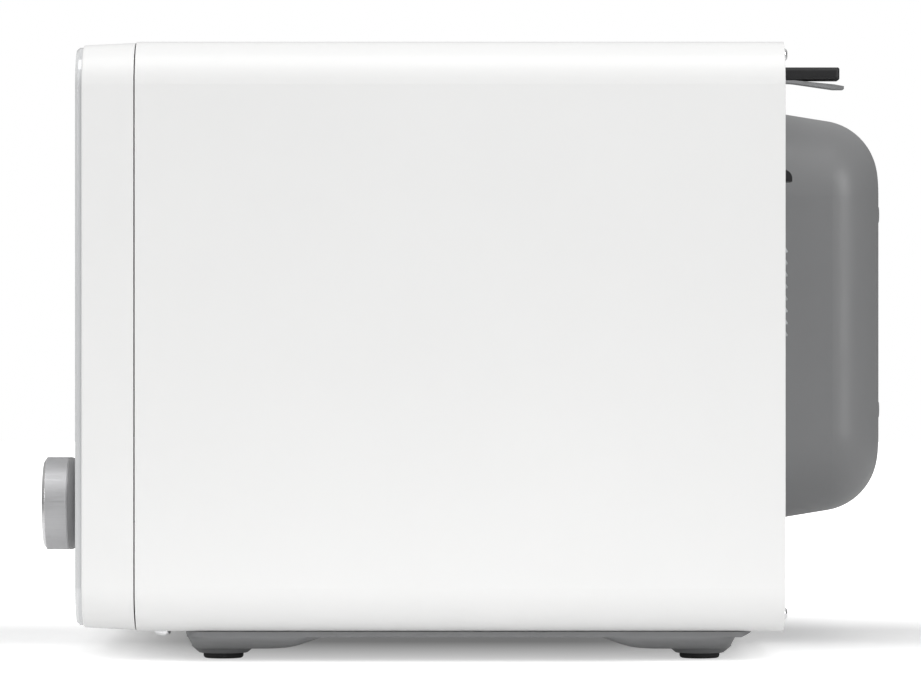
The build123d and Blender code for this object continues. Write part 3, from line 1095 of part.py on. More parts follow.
# High voltage transformer and capacitor on the base
TR_X = 170.0
TR_Y = -66.0
TR_FOOT_X = 36.0
TR_FOOT_Y = 30.0
TR_FOOT_T = 2.2
TR_CORE_X = 30.0
TR_CORE_Y = 26.0
TR_TOP = 74.0
COIL_X = 37.0
COIL_Y = 16.0
COIL_Z0 = 28.0
COIL_Z1 = 62.0
Z_FEET = Z_BOTTOM + TR_FOOT_T
transformer = block(TR_X - TR_FOOT_X, TR_X + TR_FOOT_X, TR_Y - TR_FOOT_Y, TR_Y + TR_FOOT_Y, Z_BOTTOM, Z_FEET)
transformer += block(TR_X - TR_CORE_X, TR_X + TR_CORE_X, TR_Y - TR_CORE_Y, TR_Y + TR_CORE_Y, Z_FEET, TR_TOP)
transformer += block(TR_X - COIL_X, TR_X + COIL_X, TR_Y - COIL_Y, TR_Y + COIL_Y, COIL_Z0, COIL_Z1)
CAP_X = 164.0
CAP_Y = 10.0
CAP_R = 19.0
CAP_TOP = 84.0
CAP_LID_R = 15.0
CAP_LID_T = 4.0
TAG_T = 1.5
TAG_W = 6.0
TAG_H = 9.0
TAG_OFF = 4.0
capacitor = rod_z(CAP_X, CAP_Y, Z_BOTTOM, CAP_TOP, CAP_R)
capacitor += rod_z(CAP_X, CAP_Y, CAP_TOP, CAP_TOP + CAP_LID_T, CAP_LID_R)
for side in (-1, 1):
    x = CAP_X + side * TAG_OFF
    capacitor += block(x, x + TAG_T, CAP_Y - TAG_W, CAP_Y, CAP_TOP + CAP_LID_T, CAP_TOP + CAP_LID_T + TAG_H)

# Cooling fan at the rear right
CF_X = 186.0
CF_Z = 158.0
CF_HALF = 54.0
CF_R = 48.0
CF_GAP = 1.5
CF_CORNER_R = 6.0
CF_DEPTH = 30.0
STRUT = 4.0
STRUT_T = 3.0
CF_MOTOR_R = 17.0
CF_MOTOR_L = 8.0
CF_HUB_R = 16.0
CF_PIN_END = 24.0
CF_HUB_Y0 = 9.0
CF_HUB_Y1 = 25.0
VANES = 7
VANE_PITCH = 38.0
VANE_T = 1.0
VANE_HALF = 9.0
CF_Y1 = Y_PANEL
CF_Y0 = CF_Y1 - CF_DEPTH
CF_ARM = CF_R + 2 * CF_GAP
fan_housing = block(CF_X - CF_HALF, CF_X + CF_HALF, CF_Y0, CF_Y1, CF_Z - CF_HALF, CF_Z + CF_HALF)
fan_housing = fillet(fan_housing.edges().filter_by(Axis.Y), CF_CORNER_R)
fan_housing -= rod_y(CF_X, CF_Z, CF_Y0 - PAST, CF_Y1 + PAST, CF_R + CF_GAP)
fan_housing += block(CF_X - CF_ARM, CF_X + CF_ARM, CF_Y0, CF_Y0 + STRUT_T, CF_Z - STRUT, CF_Z + STRUT)
fan_housing += block(CF_X - STRUT, CF_X + STRUT, CF_Y0, CF_Y0 + STRUT_T, CF_Z - CF_ARM, CF_Z + CF_ARM)
fan_housing += rod_y(CF_X, CF_Z, CF_Y0, CF_Y0 + CF_MOTOR_L, CF_MOTOR_R)
fan_housing += rod_y(CF_X, CF_Z, CF_Y0 + CF_MOTOR_L - PAST, CF_Y0 + CF_PIN_END, FAN_SHAFT_R)
cooling_fan = rod_y(CF_X, CF_Z, CF_Y0 + CF_HUB_Y0, CF_Y0 + CF_HUB_Y1, CF_HUB_R)
for k in range(VANES):
    vane = block(CF_HUB_R - PAST, CF_R, -VANE_T, VANE_T, -VANE_HALF, VANE_HALF)
    vane = Rot(VANE_PITCH, 0, 0) * vane
    cooling_fan += Pos(CF_X, CF_Y0 + (CF_HUB_Y0 + CF_HUB_Y1) / 2, CF_Z) * Rot(0, 360 * k / VANES, 0) * vane
cooling_fan -= rod_y(CF_X, CF_Z, CF_Y0, CF_Y0 + CF_PIN_END + FIT, FAN_SHAFT_R + FIT)

# Latch board with its door switches
LB_X0 = 103.0
LB_X1 = 126.0
LB_Z0 = 88.0
LB_Z1 = 212.0
LB_DEPTH = 12.0
LB_SKIN = 2.0
LB_WALL = 3.0
LB_RIB = 4.0
SW_X0 = 108.0
SW_X1 = 118.0
SW_L = 18.0
SW_H = 24.0
SW_ZS = (94.0, 122.0, 180.0)
Y_LB = Y_PLATE + LB_SKIN
LB_MID = (LB_Z0 + LB_Z1) / 2
latch_board = block(LB_X0, LB_X1, Y_PLATE, Y_PLATE + LB_DEPTH, LB_Z0, LB_Z1)
latch_board -= block(LB_X0 + LB_WALL, LB_X1 - LB_WALL, Y_LB, Y_PLATE + LB_DEPTH + PAST,
                     LB_Z0 + LB_RIB, LB_Z1 - LB_RIB)
latch_board += block(LB_X0 + LB_WALL, LB_X1 - LB_WALL, Y_LB, Y_PLATE + LB_DEPTH,
                     LB_MID - LB_RIB / 2, LB_MID + LB_RIB / 2)
switches = [block(SW_X0, SW_X1, Y_LB, Y_LB + SW_L, z, z + SW_H) for z in SW_ZS]

# Mains filter board on the rear panel, and thermal cut-outs on the cavity
FB_X0 = 150.0
FB_X1 = 238.0
FB_Z0 = 222.0
FB_Z1 = 284.0
FB_STAND = 8.4
FB_POST_R = 2.5
FB_EDGE = 4.0
FB_CHOKE_R = 11.0
FB_CHOKE_L = 16.0
FB_CAP_X0 = 196.0
FB_CAP_X1 = 214.0
FB_CAP_Z0 = 250.0
FB_CAP_Z1 = 276.0
FB_CHOKE_X = 178.0
FB_CHOKE_Z = 262.0
Y_FB = Y_PANEL - FB_STAND
Y_FB0 = Y_FB - BOARD_T
filter_board = block(FB_X0, FB_X1, Y_FB0, Y_FB, FB_Z0, FB_Z1)
for x in (FB_X0 + FB_EDGE, FB_CAP_X1 - FB_EDGE):
    for z in (FB_Z0 + FB_EDGE, FB_Z1 - FB_EDGE):
        filter_board += rod_y(x, z, Y_FB - BOARD_T / 2, Y_PANEL, FB_POST_R)
filter_board += rod_y(FB_CHOKE_X, FB_CHOKE_Z, Y_FB0 - FB_CHOKE_L, Y_FB, FB_CHOKE_R)
filter_board += block(FB_CAP_X0, FB_CAP_X1, Y_FB0 - FB_CHOKE_L, Y_FB, FB_CAP_Z0, FB_CAP_Z1)
CUT_R = 8.0
CUT_H = 9.0
CUT_OFF = 60.0
Z_ROOF = CAV_Z1 + CAV_SKIN
cutouts = [rod_z(CAV_X, Y_CAV_MID, Z_ROOF, Z_ROOF + CUT_H, CUT_R),
           rod_z(CAV_X + CUT_OFF, Y_CAV_MID + CUT_OFF, Z_ROOF, Z_ROOF + CUT_H, CUT_R)]
save("cabinet_wrap", wrap)
save("front_plate", front_plate)
save("cavity", cavity)
save("waveguide_cover", waveguide_cover)
save("oven_lamp", lamp)
save("grill_element", grill)
save("turntable_glass", table)
save("coupler", coupler)
save("roller_ring", roller_ring)
for k in range(3):
    save(f"roller_{k + 1}", rollers[k])
save("turntable_motor", table_motor)
save("fan_dish", dish)
save("conv_fan", conv_fan)
save("conv_heater", heater)
save("fan_motor", fan_motor)
save("waveguide", waveguide)
save("magnetron", magnetron)
save("transformer", transformer)
save("capacitor", capacitor)
save("fan_housing", fan_housing)
save("cooling_fan", cooling_fan)
save("latch_board", latch_board)
save("door_switches", switches)
save("filter_board", filter_board)
save("thermal_cutouts", cutouts)
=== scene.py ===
import bpy
import math
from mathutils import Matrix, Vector


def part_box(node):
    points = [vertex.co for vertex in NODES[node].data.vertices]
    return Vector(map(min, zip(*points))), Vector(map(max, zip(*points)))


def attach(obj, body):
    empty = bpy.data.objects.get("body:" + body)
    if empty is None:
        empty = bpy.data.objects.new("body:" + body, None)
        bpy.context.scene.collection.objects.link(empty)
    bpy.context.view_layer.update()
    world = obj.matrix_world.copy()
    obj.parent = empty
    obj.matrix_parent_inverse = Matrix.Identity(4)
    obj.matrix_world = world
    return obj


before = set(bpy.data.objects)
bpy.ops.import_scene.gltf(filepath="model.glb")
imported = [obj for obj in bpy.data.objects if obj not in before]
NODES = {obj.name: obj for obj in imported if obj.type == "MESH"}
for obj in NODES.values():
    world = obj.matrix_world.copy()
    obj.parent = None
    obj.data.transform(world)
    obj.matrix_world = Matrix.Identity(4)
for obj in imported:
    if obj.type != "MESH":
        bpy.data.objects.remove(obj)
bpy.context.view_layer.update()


# Materials
COAT_ROUGH = 0.06
BEVEL_SAMPLES = 4
SOFT_EDGE = 0.0003
THIN_EDGE = 0.0002
GRAIN_DEPTH = 0.0002
LINE_DEPTH = 0.0001


def new_material(name, base, rough, metal=0.0, coat=0.0):
    """Principled material with its plain values set on the shader itself."""
    m = bpy.data.materials.new(name)
    m.use_nodes = True
    b = m.node_tree.nodes["Principled BSDF"]
    b.inputs["Base Color"].default_value = (*base, 1)
    b.inputs["Roughness"].default_value = rough
    b.inputs["Metallic"].default_value = metal
    b.inputs["Coat Weight"].default_value = coat
    b.inputs["Coat Roughness"].default_value = COAT_ROUGH
    return m, m.node_tree, b


def add(tree, kind, **values):
    """New shader node with its inputs filled in."""
    n = tree.nodes.new(kind)
    for key, value in values.items():
        n.inputs[key.replace("_", " ")].default_value = value
    return n


def coords(tree, stretch=(1, 1, 1)):
    """Object coordinates, stretched along each axis."""
    tc = tree.nodes.new("ShaderNodeTexCoord")
    mp = add(tree, "ShaderNodeMapping", Scale=stretch)
    tree.links.new(tc.outputs["Object"], mp.inputs["Vector"])
    return mp.outputs["Vector"]


def noise(tree, vec, scale, detail=4.0, rough=0.5):
    """Cloudy factor at a scale."""
    n = add(tree, "ShaderNodeTexNoise", Scale=scale, Detail=detail, Roughness=rough)
    tree.links.new(vec, n.inputs["Vector"])
    return n.outputs["Fac"]


def remap(tree, fac, low, high, frm=0.3, to=0.7):
    """Spread a factor between two values."""
    r = tree.nodes.new("ShaderNodeMapRange")
    r.inputs["From Min"].default_value = frm
    r.inputs["From Max"].default_value = to
    r.inputs["To Min"].default_value = low
    r.inputs["To Max"].default_value = high
    tree.links.new(fac, r.inputs["Value"])
    return r.outputs["Result"]


def tint(tree, bsdf, fac, dark, light):
    """Blend the base colour between two tones."""
    mx = tree.nodes.new("ShaderNodeMix")
    mx.data_type = "RGBA"
    mx.inputs["A"].default_value = (*dark, 1)
    mx.inputs["B"].default_value = (*light, 1)
    tree.links.new(fac, mx.inputs["Factor"])
    tree.links.new(mx.outputs["Result"], bsdf.inputs["Base Color"])


def soft_edges(tree, radius):
    """Rounded shading over sharp edges."""
    n = tree.nodes.new("ShaderNodeBevel")
    n.samples = BEVEL_SAMPLES
    n.inputs["Radius"].default_value = radius
    return n.outputs["Normal"]


def bump(tree, bsdf, height, strength, edge, distance=GRAIN_DEPTH):
    """Fine relief over rounded edges."""
    b = add(tree, "ShaderNodeBump", Strength=strength, Distance=distance)
    tree.links.new(height, b.inputs["Height"])
    tree.links.new(soft_edges(tree, edge), b.inputs["Normal"])
    tree.links.new(b.outputs["Normal"], bsdf.inputs["Normal"])


def scaled(colour, by):
    """A colour made lighter or darker, no brighter than white."""
    return tuple(min(1, c * by) for c in colour)


def paint(name, base, rough, peel=0.02, coat=0.15):
    """Baked paint: faint orange peel, uneven gloss, slightly worn tone."""
    worn = 0.985
    cloud_scale = 9.0
    gloss_scale = 40.0
    peel_scale = 900.0
    m, t, b = new_material(name, base, rough, coat=coat)
    v = coords(t)
    tint(t, b, remap(t, noise(t, v, cloud_scale, 3.0), 0.0, 1.0), scaled(base, worn), base)
    gloss = remap(t, noise(t, v, gloss_scale), rough * 0.92, rough * 1.08)
    t.links.new(gloss, b.inputs["Roughness"])
    bump(t, b, noise(t, v, peel_scale, 2.0), peel, SOFT_EDGE)
    return m


def plastic(name, base, rough, grain=0.08, scale=2200.0, uneven=0.04):
    """Moulded plastic with a fine grain."""
    cloud_scale = 30.0
    gloss_scale = 120.0
    m, t, b = new_material(name, base, rough)
    v = coords(t)
    clouds = remap(t, noise(t, v, cloud_scale), 0.0, 1.0)
    tint(t, b, clouds, scaled(base, 1 - uneven), scaled(base, 1 + uneven))
    gloss = remap(t, noise(t, v, gloss_scale), rough * 0.9, rough * 1.12)
    t.links.new(gloss, b.inputs["Roughness"])
    bump(t, b, noise(t, v, scale, 3.0), grain, SOFT_EDGE)
    return m


def metal(name, base, rough, stretch=(1, 1, 1), scale=900.0, line=0.06):
    """Sheet or turned metal with fine lines along one way."""
    m, t, b = new_material(name, base, rough, metal=1.0)
    lines = noise(t, coords(t, stretch), scale, 3.0, 0.6)
    tint(t, b, remap(t, lines, 0.0, 1.0), scaled(base, 0.9), scaled(base, 1.05))
    t.links.new(remap(t, lines, rough * 0.8, rough * 1.25), b.inputs["Roughness"])
    bump(t, b, lines, line, THIN_EDGE, LINE_DEPTH)
    return m


def glass(name, base, rough, alpha=1.0):
    """Polished sheet with a thin smear of dust."""
    smear_scale = 14.0
    ripple_scale = 60.0
    m, t, b = new_material(name, base, rough, coat=0.6)
    v = coords(t)
    t.links.new(remap(t, noise(t, v, smear_scale), rough, rough * 2.2), b.inputs["Roughness"])
    bump(t, b, noise(t, v, ripple_scale, 2.0), 0.01, THIN_EDGE)
    b.inputs["Alpha"].default_value = alpha
    return m


def lit(name, colour, strength):
    """Glowing segment, a little uneven along its length."""
    uneven_scale = 700.0
    m, t, b = new_material(name, colour, 0.5)
    b.inputs["Emission Color"].default_value = (*colour, 1)
    glow = remap(t, noise(t, coords(t), uneven_scale), strength * 0.85, strength)
    t.links.new(glow, b.inputs["Emission Strength"])
    return m


M = {
    "white": paint("white_paint", (0.835, 0.835, 0.83), 0.34),
    "front": plastic("front_white", (0.825, 0.825, 0.82), 0.32, 0.02, uneven=0.006),
    "zinc": metal("zinc_sheet", (0.62, 0.63, 0.64), 0.38, (1, 1, 6), 60.0, 0.02),
    "steel": metal("steel", (0.62, 0.62, 0.62), 0.28),
    "silver": metal("turned_silver", (0.56, 0.56, 0.57), 0.5, (1, 0.04, 1), 1500.0, 0.03),
    "chrome": metal("polished", (0.93, 0.93, 0.94), 0.12, line=0.005),
    "base": paint("base_grey", (0.2, 0.202, 0.206), 0.45, 0.06, 0.05),
    "cover": paint("cover_grey", (0.2, 0.202, 0.205), 0.4, 0.05, 0.0),
    "black": plastic("black_plastic", (0.01, 0.01, 0.011), 0.5, 0.1),
    "tongue": metal("dull_zinc", (0.42, 0.425, 0.43), 0.42, (1, 1, 6), 60.0, 0.02),
    "ring": plastic("ring_grey", (0.2, 0.2, 0.205), 0.36, 0.04),
    "rubber": plastic("rubber", (0.02, 0.02, 0.02), 0.7, 0.25),
    "dark": plastic("dark_grey_plastic", (0.07, 0.07, 0.075), 0.45),
    "mould": plastic("natural_moulding", (0.72, 0.72, 0.7), 0.45),
    "enamel": paint("enamel", (0.5, 0.51, 0.52), 0.32, 0.01, 0.2),
    "board": plastic("board_green", (0.02, 0.11, 0.05), 0.4),
    "mica": plastic("mica", (0.5, 0.46, 0.38), 0.55, 0.3, scale=500.0),
    "iron": metal("laminated_iron", (0.2, 0.19, 0.18), 0.5, (40, 1, 1), 60.0, 0.2),
    "display": glass("display_black", (0.006, 0.006, 0.008), 0.05),
    "table": glass("table_glass", (0.75, 0.82, 0.82), 0.04, 0.35),
    "clear": glass("clear_sheet", (0.5, 0.52, 0.52), 0.05, 0.25),
    "screen": paint("screen_black", (0.02, 0.02, 0.022), 0.4),
    "heater": metal("heater_sheath", (0.26, 0.24, 0.23), 0.5, line=0.1),
    "print": plastic("mark_grey", (0.13, 0.13, 0.135), 0.5, 0.05),
    "lit": lit("lit_segment", (0.8, 0.93, 1.0), 4.0),
}


def calc(tree, op, a, b=None):
    """One math node on sockets or plain numbers."""
    n = tree.nodes.new("ShaderNodeMath")
    n.operation = op
    for i, v in enumerate((a, b)):
        if v is None:
            continue
        if isinstance(v, (int, float)):
            n.inputs[i].default_value = v
        else:
            tree.links.new(v, n.inputs[i])
    return n.outputs[0]


def rounded_mask(tree, low, high, radius, soft=0.0002):
    """1 inside a rounded rectangle on the front between two opposite corners, else 0."""
    tc = tree.nodes.new("ShaderNodeTexCoord")
    p = tree.nodes.new("ShaderNodeSeparateXYZ")
    tree.links.new(tc.outputs["Object"], p.inputs[0])
    past = []
    for axis, (u, v) in zip("XZ", zip(low, high)):
        off = calc(tree, "ABSOLUTE", calc(tree, "SUBTRACT", p.outputs[axis], (u + v) / 2))
        past.append(calc(tree, "MAXIMUM", calc(tree, "SUBTRACT", off, (v - u) / 2 - radius), 0.0))
    square = [calc(tree, "MULTIPLY", d, d) for d in past]
    reach = calc(tree, "SQRT", calc(tree, "ADD", *square))
    return remap(tree, reach, 1.0, 0.0, radius - soft, radius + soft)


def edge_mask(tree, front=0.97):
    """1 where a surface turns away from Y by more than a limit, as on the sides of a plate, else 0."""
    tc = tree.nodes.new("ShaderNodeTexCoord")
    n = tree.nodes.new("ShaderNodeSeparateXYZ")
    tree.links.new(tc.outputs["Normal"], n.inputs[0])
    return calc(tree, "LESS_THAN", calc(tree, "ABSOLUTE", n.outputs["Y"]), front)


PLATE_TONE = (0.86, 0.87, 0.875)
PLATE_EDGE_TONE = (0.68, 0.69, 0.7)
PLATE_EDGE_METAL = 0.25
PLATE_EDGE_ROUGH = 0.08
WINDOW_TONE = (0.5, 0.5, 0.51, 1)
WINDOW_ROUGH = 0.03
GLASS_IOR = 1.5


def mixed(tree, factor, first, second):
    """One shader blended into another."""
    both = tree.nodes.new("ShaderNodeMixShader")
    tree.links.new(factor, both.inputs[0])
    tree.links.new(first.outputs[0], both.inputs[1])
    tree.links.new(second.outputs[0], both.inputs[2])
    return both


def front_glass(name, low, high, radius):
    """Glass plate printed white on its back, with polished grey edges, chamfers tinted lighter as a painted
    highlight, and one tinted window.
    """
    smear_scale = 16.0
    ripple_scale = 50.0
    m, t, b = new_material(name, PLATE_TONE, 0.04, coat=0.8)
    v = coords(t)
    edge = edge_mask(t)
    # Sides get the grey of the glass edge; chamfers get half of it, lighter, as a painted highlight chosen by
    # their facing
    tones = calc(t, "MULTIPLY", calc(t, "ADD", edge, edge_mask(t, 0.4)), 0.5)
    tint(t, b, tones, PLATE_TONE, PLATE_EDGE_TONE)
    t.links.new(remap(t, edge, 0.0, PLATE_EDGE_METAL, 0.0, 1.0), b.inputs["Metallic"])
    smear = remap(t, noise(t, v, smear_scale), 0.03, 0.06)
    rough = calc(t, "ADD", smear, calc(t, "MULTIPLY", edge, PLATE_EDGE_ROUGH))
    t.links.new(rough, b.inputs["Roughness"])
    bump(t, b, noise(t, v, ripple_scale, 2.0), 0.008, THIN_EDGE)
    gloss = add(t, "ShaderNodeBsdfGlossy", Color=(1, 1, 1, 1), Roughness=WINDOW_ROUGH)
    through = add(t, "ShaderNodeBsdfTransparent", Color=WINDOW_TONE)
    grazing = add(t, "ShaderNodeFresnel", IOR=GLASS_IOR)
    side = t.nodes.new("ShaderNodeNewGeometry")
    outside = calc(t, "SUBTRACT", 1.0, side.outputs["Backfacing"])
    shine = calc(t, "MULTIPLY", grazing.outputs[0], outside)
    pane = mixed(t, shine, through, gloss)
    flat = calc(t, "MULTIPLY", rounded_mask(t, low, high, radius), calc(t, "SUBTRACT", 1.0, edge))
    both = mixed(t, flat, b, pane)
    t.links.new(both.outputs[0], t.nodes["Material Output"].inputs["Surface"])
    return m


def inset(node, by):
    """Corners (x, z) of a node's box as seen from the front, drawn in by a margin."""
    low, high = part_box(node)
    return (low[0] + by, low[2] + by), (high[0] - by, high[2] - by)


WINDOW_INSET = 0.003
WINDOW_R = 0.012
DISPLAY_INSET = -0.002
DISPLAY_R = 0.003
M["door_plate"] = front_glass("door_plate", *inset("door_screen", WINDOW_INSET), WINDOW_R)
M["panel_plate"] = front_glass("panel_plate", *inset("display_module", DISPLAY_INSET), DISPLAY_R)

USES = {
    "cabinet_wrap": "white", "front_plate": "white", "rear_panel": "zinc", "base_plate": "base",
    "foot_pads": "rubber", "base_screws": "chrome", "rear_screws": "chrome", "cover_screws": "cover",
    "fan_cover": "cover", "wall_spacer": "black", "spacer_tongue": "tongue", "cord_gland": "black",
    "control_frame": "front", "control_glass": "panel_plate", "display_module": "display",
    "control_board": "board",
    "encoder_body": "dark", "encoder_slider": "dark", "encoder_shaft": "steel", "knob_body": "silver",
    "knob_ring": "chrome", "knob_face": "silver", "knob_base": "ring", "open_button": "front",
    "release_lever": "dark", "lever_pin": "steel", "door_frame": "front", "door_glass": "door_plate",
    "door_panel": "dark", "door_screen": "screen", "inner_window": "clear", "choke_cover": "dark",
    "door_latch": "mould", "hinge_brackets": "zinc", "hinge_pins": "steel", "cavity": "enamel",
    "waveguide_cover": "mica", "oven_lamp": "mould", "grill_element": "heater", "turntable_glass": "table",
    "coupler": "mould", "roller_ring": "mould", "roller_1": "mould", "roller_2": "mould", "roller_3": "mould",
    "turntable_motor": "zinc", "fan_dish": "zinc", "conv_fan": "steel", "conv_heater": "heater",
    "fan_motor": "iron", "waveguide": "zinc", "magnetron": "zinc", "transformer": "iron", "capacitor": "zinc",
    "fan_housing": "black", "cooling_fan": "dark", "latch_board": "mould", "door_switches": "black",
    "filter_board": "board", "thermal_cutouts": "steel",
}
for node, key in USES.items():
    obj = NODES[node]
    obj.data.materials.clear()
    obj.data.materials.append(M[key])


# Printed marks and lit digits
SHARPEST = 0.4
LAYER = 0.000002


def stroke(points, width, closed=False):
    """Corners and quads of a flat line of even width through points (x, z)."""
    n = len(points)
    spots = [Vector(p) for p in points]
    rim = []
    for i, p in enumerate(spots):
        ways = []
        if i or closed:
            ways.append((p - spots[i - 1]).normalized())
        if i < n - 1 or closed:
            ways.append((spots[(i + 1) % n] - p).normalized())
        along = (ways[0] + ways[-1]).normalized()
        side = Vector((-along.y, along.x))
        reach = width / 2 / max(SHARPEST, along.dot(ways[0]))
        rim += [p + side * reach, p - side * reach]
    quads = []
    for i in range(n if closed else n - 1):
        j = (i + 1) % n
        quads.append([2 * i, 2 * i + 1, 2 * j + 1, 2 * j])
    return rim, quads


def flat_marks(name, strokes, y, body, key):
    """Thin print of several strokes on a plane that faces -Y. A stroke is (points, width, closed)."""
    verts, faces = [], []
    for k, (points, width, closed) in enumerate(strokes):
        rim, quads = stroke(points, width, closed)
        faces += [[len(verts) + i for i in q] for q in quads]
        verts += [(p.x, y - LAYER * k, p.y) for p in rim]
    mesh = bpy.data.meshes.new(name)
    mesh.from_pydata(verts, [], faces)
    mesh.materials.append(M[key])
    obj = bpy.data.objects.new(name, mesh)
    bpy.context.scene.collection.objects.link(obj)
    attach(obj, body)


def ring(radius, n=28):
    """Points round a circle."""
    turns = [2 * math.pi * i / n for i in range(n)]
    return [(radius * math.cos(a), radius * math.sin(a)) for a in turns]


def wave(z, n=16):
    """Points along one full wave at a height."""
    swing = 0.22
    return [(-1 + 2 * i / n, z + swing * math.sin(2 * math.pi * i / n)) for i in range(n + 1)]


def petal(angle, n=5):
    """Curved blade of a fan, from its hub outwards."""
    hub = 0.16
    length = 0.5
    curl = 0.9
    out = []
    for i in range(n + 1):
        r = hub + length * i / n
        a = angle + curl * (i / n) ** 2
        out.append((r * math.cos(a), r * math.sin(a)))
    return out


ZIGZAG = [(-1 + 0.4 * i, 0.75 if i % 2 else 0.25) for i in range(6)]
BAR = [(-1, -0.7), (1, -0.7)]
SPOKES = (0.52, 1.57, 2.62)
SHAPES = {
    "waves": [(wave(z), False) for z in (0.6, 0.0, -0.6)],
    "grill": [(ZIGZAG, False), (BAR, False)],
    "fan": [(ring(1.0), True)] + [(petal(math.pi / 2 * k), False) for k in range(4)],
    "grill_fan": [(ZIGZAG, False)] + [([(x, z - 0.45) for x, z in ring(0.5, 20)], True)],
    "frost": [([(-math.cos(a), -math.sin(a)), (math.cos(a), math.sin(a))], False) for a in SPOKES],
    "clock": [(ring(1.0), True), ([(0, 0.62), (0, 0), (0.42, -0.24)], False)],
    "minus": [([(-0.7, 0), (0.7, 0)], False)],
    "plus": [([(-0.7, 0), (0.7, 0)], False), ([(0, -0.7), (0, 0.7)], False)],
    "stop": [([(-0.7, -0.7), (0.7, -0.7), (0.7, 0.7), (-0.7, 0.7)], True)],
    "start": [([(-0.6, -0.8), (0.9, 0), (-0.6, 0.8)], True)],
    "open": [([(-0.9, -0.1), (0.9, -0.1), (0, 0.9)], True), ([(-0.9, -0.65), (0.9, -0.65)], False)],
}
MARK = 0.005
LINE = 0.0007


def placed(shape, x, z):
    """A shape's strokes, moved to their place and size."""
    out = []
    for points, closed in SHAPES[shape]:
        out.append(([(x + u * MARK, z + w * MARK) for u, w in points], LINE, closed))
    return out


glass_low, glass_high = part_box("control_glass")
screen_low, screen_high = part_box("display_module")
button_low, button_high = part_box("open_button")
MID_X = (screen_low[0] + screen_high[0]) / 2
KEY_X = 0.022
KEY_STEP = 0.0205
KEYS_BELOW = 0.018
FIRST_Z = screen_low[2] - KEYS_BELOW
PRINT = 0.00004
ROWS = (
    ("waves", "grill"),
    ("fan", "grill_fan"),
    ("frost", "clock"),
    ("minus", "plus"),
    ("stop", "start"),
)
strokes = []
for i, row in enumerate(ROWS):
    for side, shape in zip((-1, 1), row):
        strokes += placed(shape, MID_X + side * KEY_X, FIRST_Z - KEY_STEP * i)
flat_marks("key_marks", strokes, glass_low[1] - PRINT, "cabinet", "print")
button_z = (button_low[2] + button_high[2]) / 2
flat_marks("button_mark", placed("open", MID_X, button_z), button_low[1] - PRINT, "release_button", "print")

DIGIT_W = 0.0072
DIGIT_H = 0.0134
DIGIT_STEP = 0.0112
SEG_W = 0.0013
LEAN = 0.1
SEG_TRIM = 0.62
COLON_PARTS = (0.3, 0.7)
COLON_SHIFT = 0.03
SEGMENTS = {
    "a": ((0, 1), (1, 1)), "b": ((1, 1), (1, 0.5)), "c": ((1, 0.5), (1, 0)), "d": ((0, 0), (1, 0)),
    "e": ((0, 0.5), (0, 0)), "f": ((0, 1), (0, 0.5)), "g": ((0, 0.5), (1, 0.5)),
}
LIT = {"1": "bc", "2": "abged", "0": "abcdef", "3": "abgcd"}


def segment(x, z, ends):
    """One bar of a digit, drawn in a little at both ends."""
    a, b = (Vector((x + u * DIGIT_W + LEAN * w * DIGIT_H, z + w * DIGIT_H)) for u, w in ends)
    along = (b - a).normalized() * SEG_W * SEG_TRIM
    return [tuple(a + along), tuple(b - along)], SEG_W, False


digits = []
low_z = (screen_low[2] + screen_high[2] - DIGIT_H) / 2
start_x = MID_X - 2 * DIGIT_STEP - DIGIT_W / 4
for i, figure in enumerate("1230"):
    x = start_x + DIGIT_STEP * i + (DIGIT_W / 2 if i > 1 else 0)
    digits += [segment(x, low_z, SEGMENTS[name]) for name in LIT[figure]]
for part in COLON_PARTS:
    x = start_x + 2 * DIGIT_STEP + LEAN * part * DIGIT_H - DIGIT_W * COLON_SHIFT
    z = low_z + part * DIGIT_H
    digits.append(([(x, z - SEG_W / 2), (x, z + SEG_W / 2)], SEG_W, False))
flat_marks("digits", digits, (glass_high[1] + screen_low[1]) / 2, "cabinet", "lit")


# Stage: floor, backdrop, camera and lights
WHITE = (1, 1, 1, 1)
FLOOR_SIZE = 12
# Centre of the painted floor shadow, shifted towards the front
MIDDLE_Y = 0.035


def area(name, where, aim, size, power):
    """Soft rectangular lamp aimed at a point."""
    d = bpy.data.lights.new(name, "AREA")
    d.shape = "RECTANGLE"
    d.size, d.size_y = size
    d.energy = power
    o = bpy.data.objects.new(name, d)
    bpy.context.scene.collection.objects.link(o)
    o.location = where
    o.rotation_euler = (Vector(aim) - Vector(where)).to_track_quat("-Z", "Y").to_euler()


def added(tree, first, second):
    """Sum of two shaders."""
    both = tree.nodes.new("ShaderNodeAddShader")
    tree.links.new(first.outputs[0], both.inputs[0])
    tree.links.new(second.outputs[0], both.inputs[1])
    return both


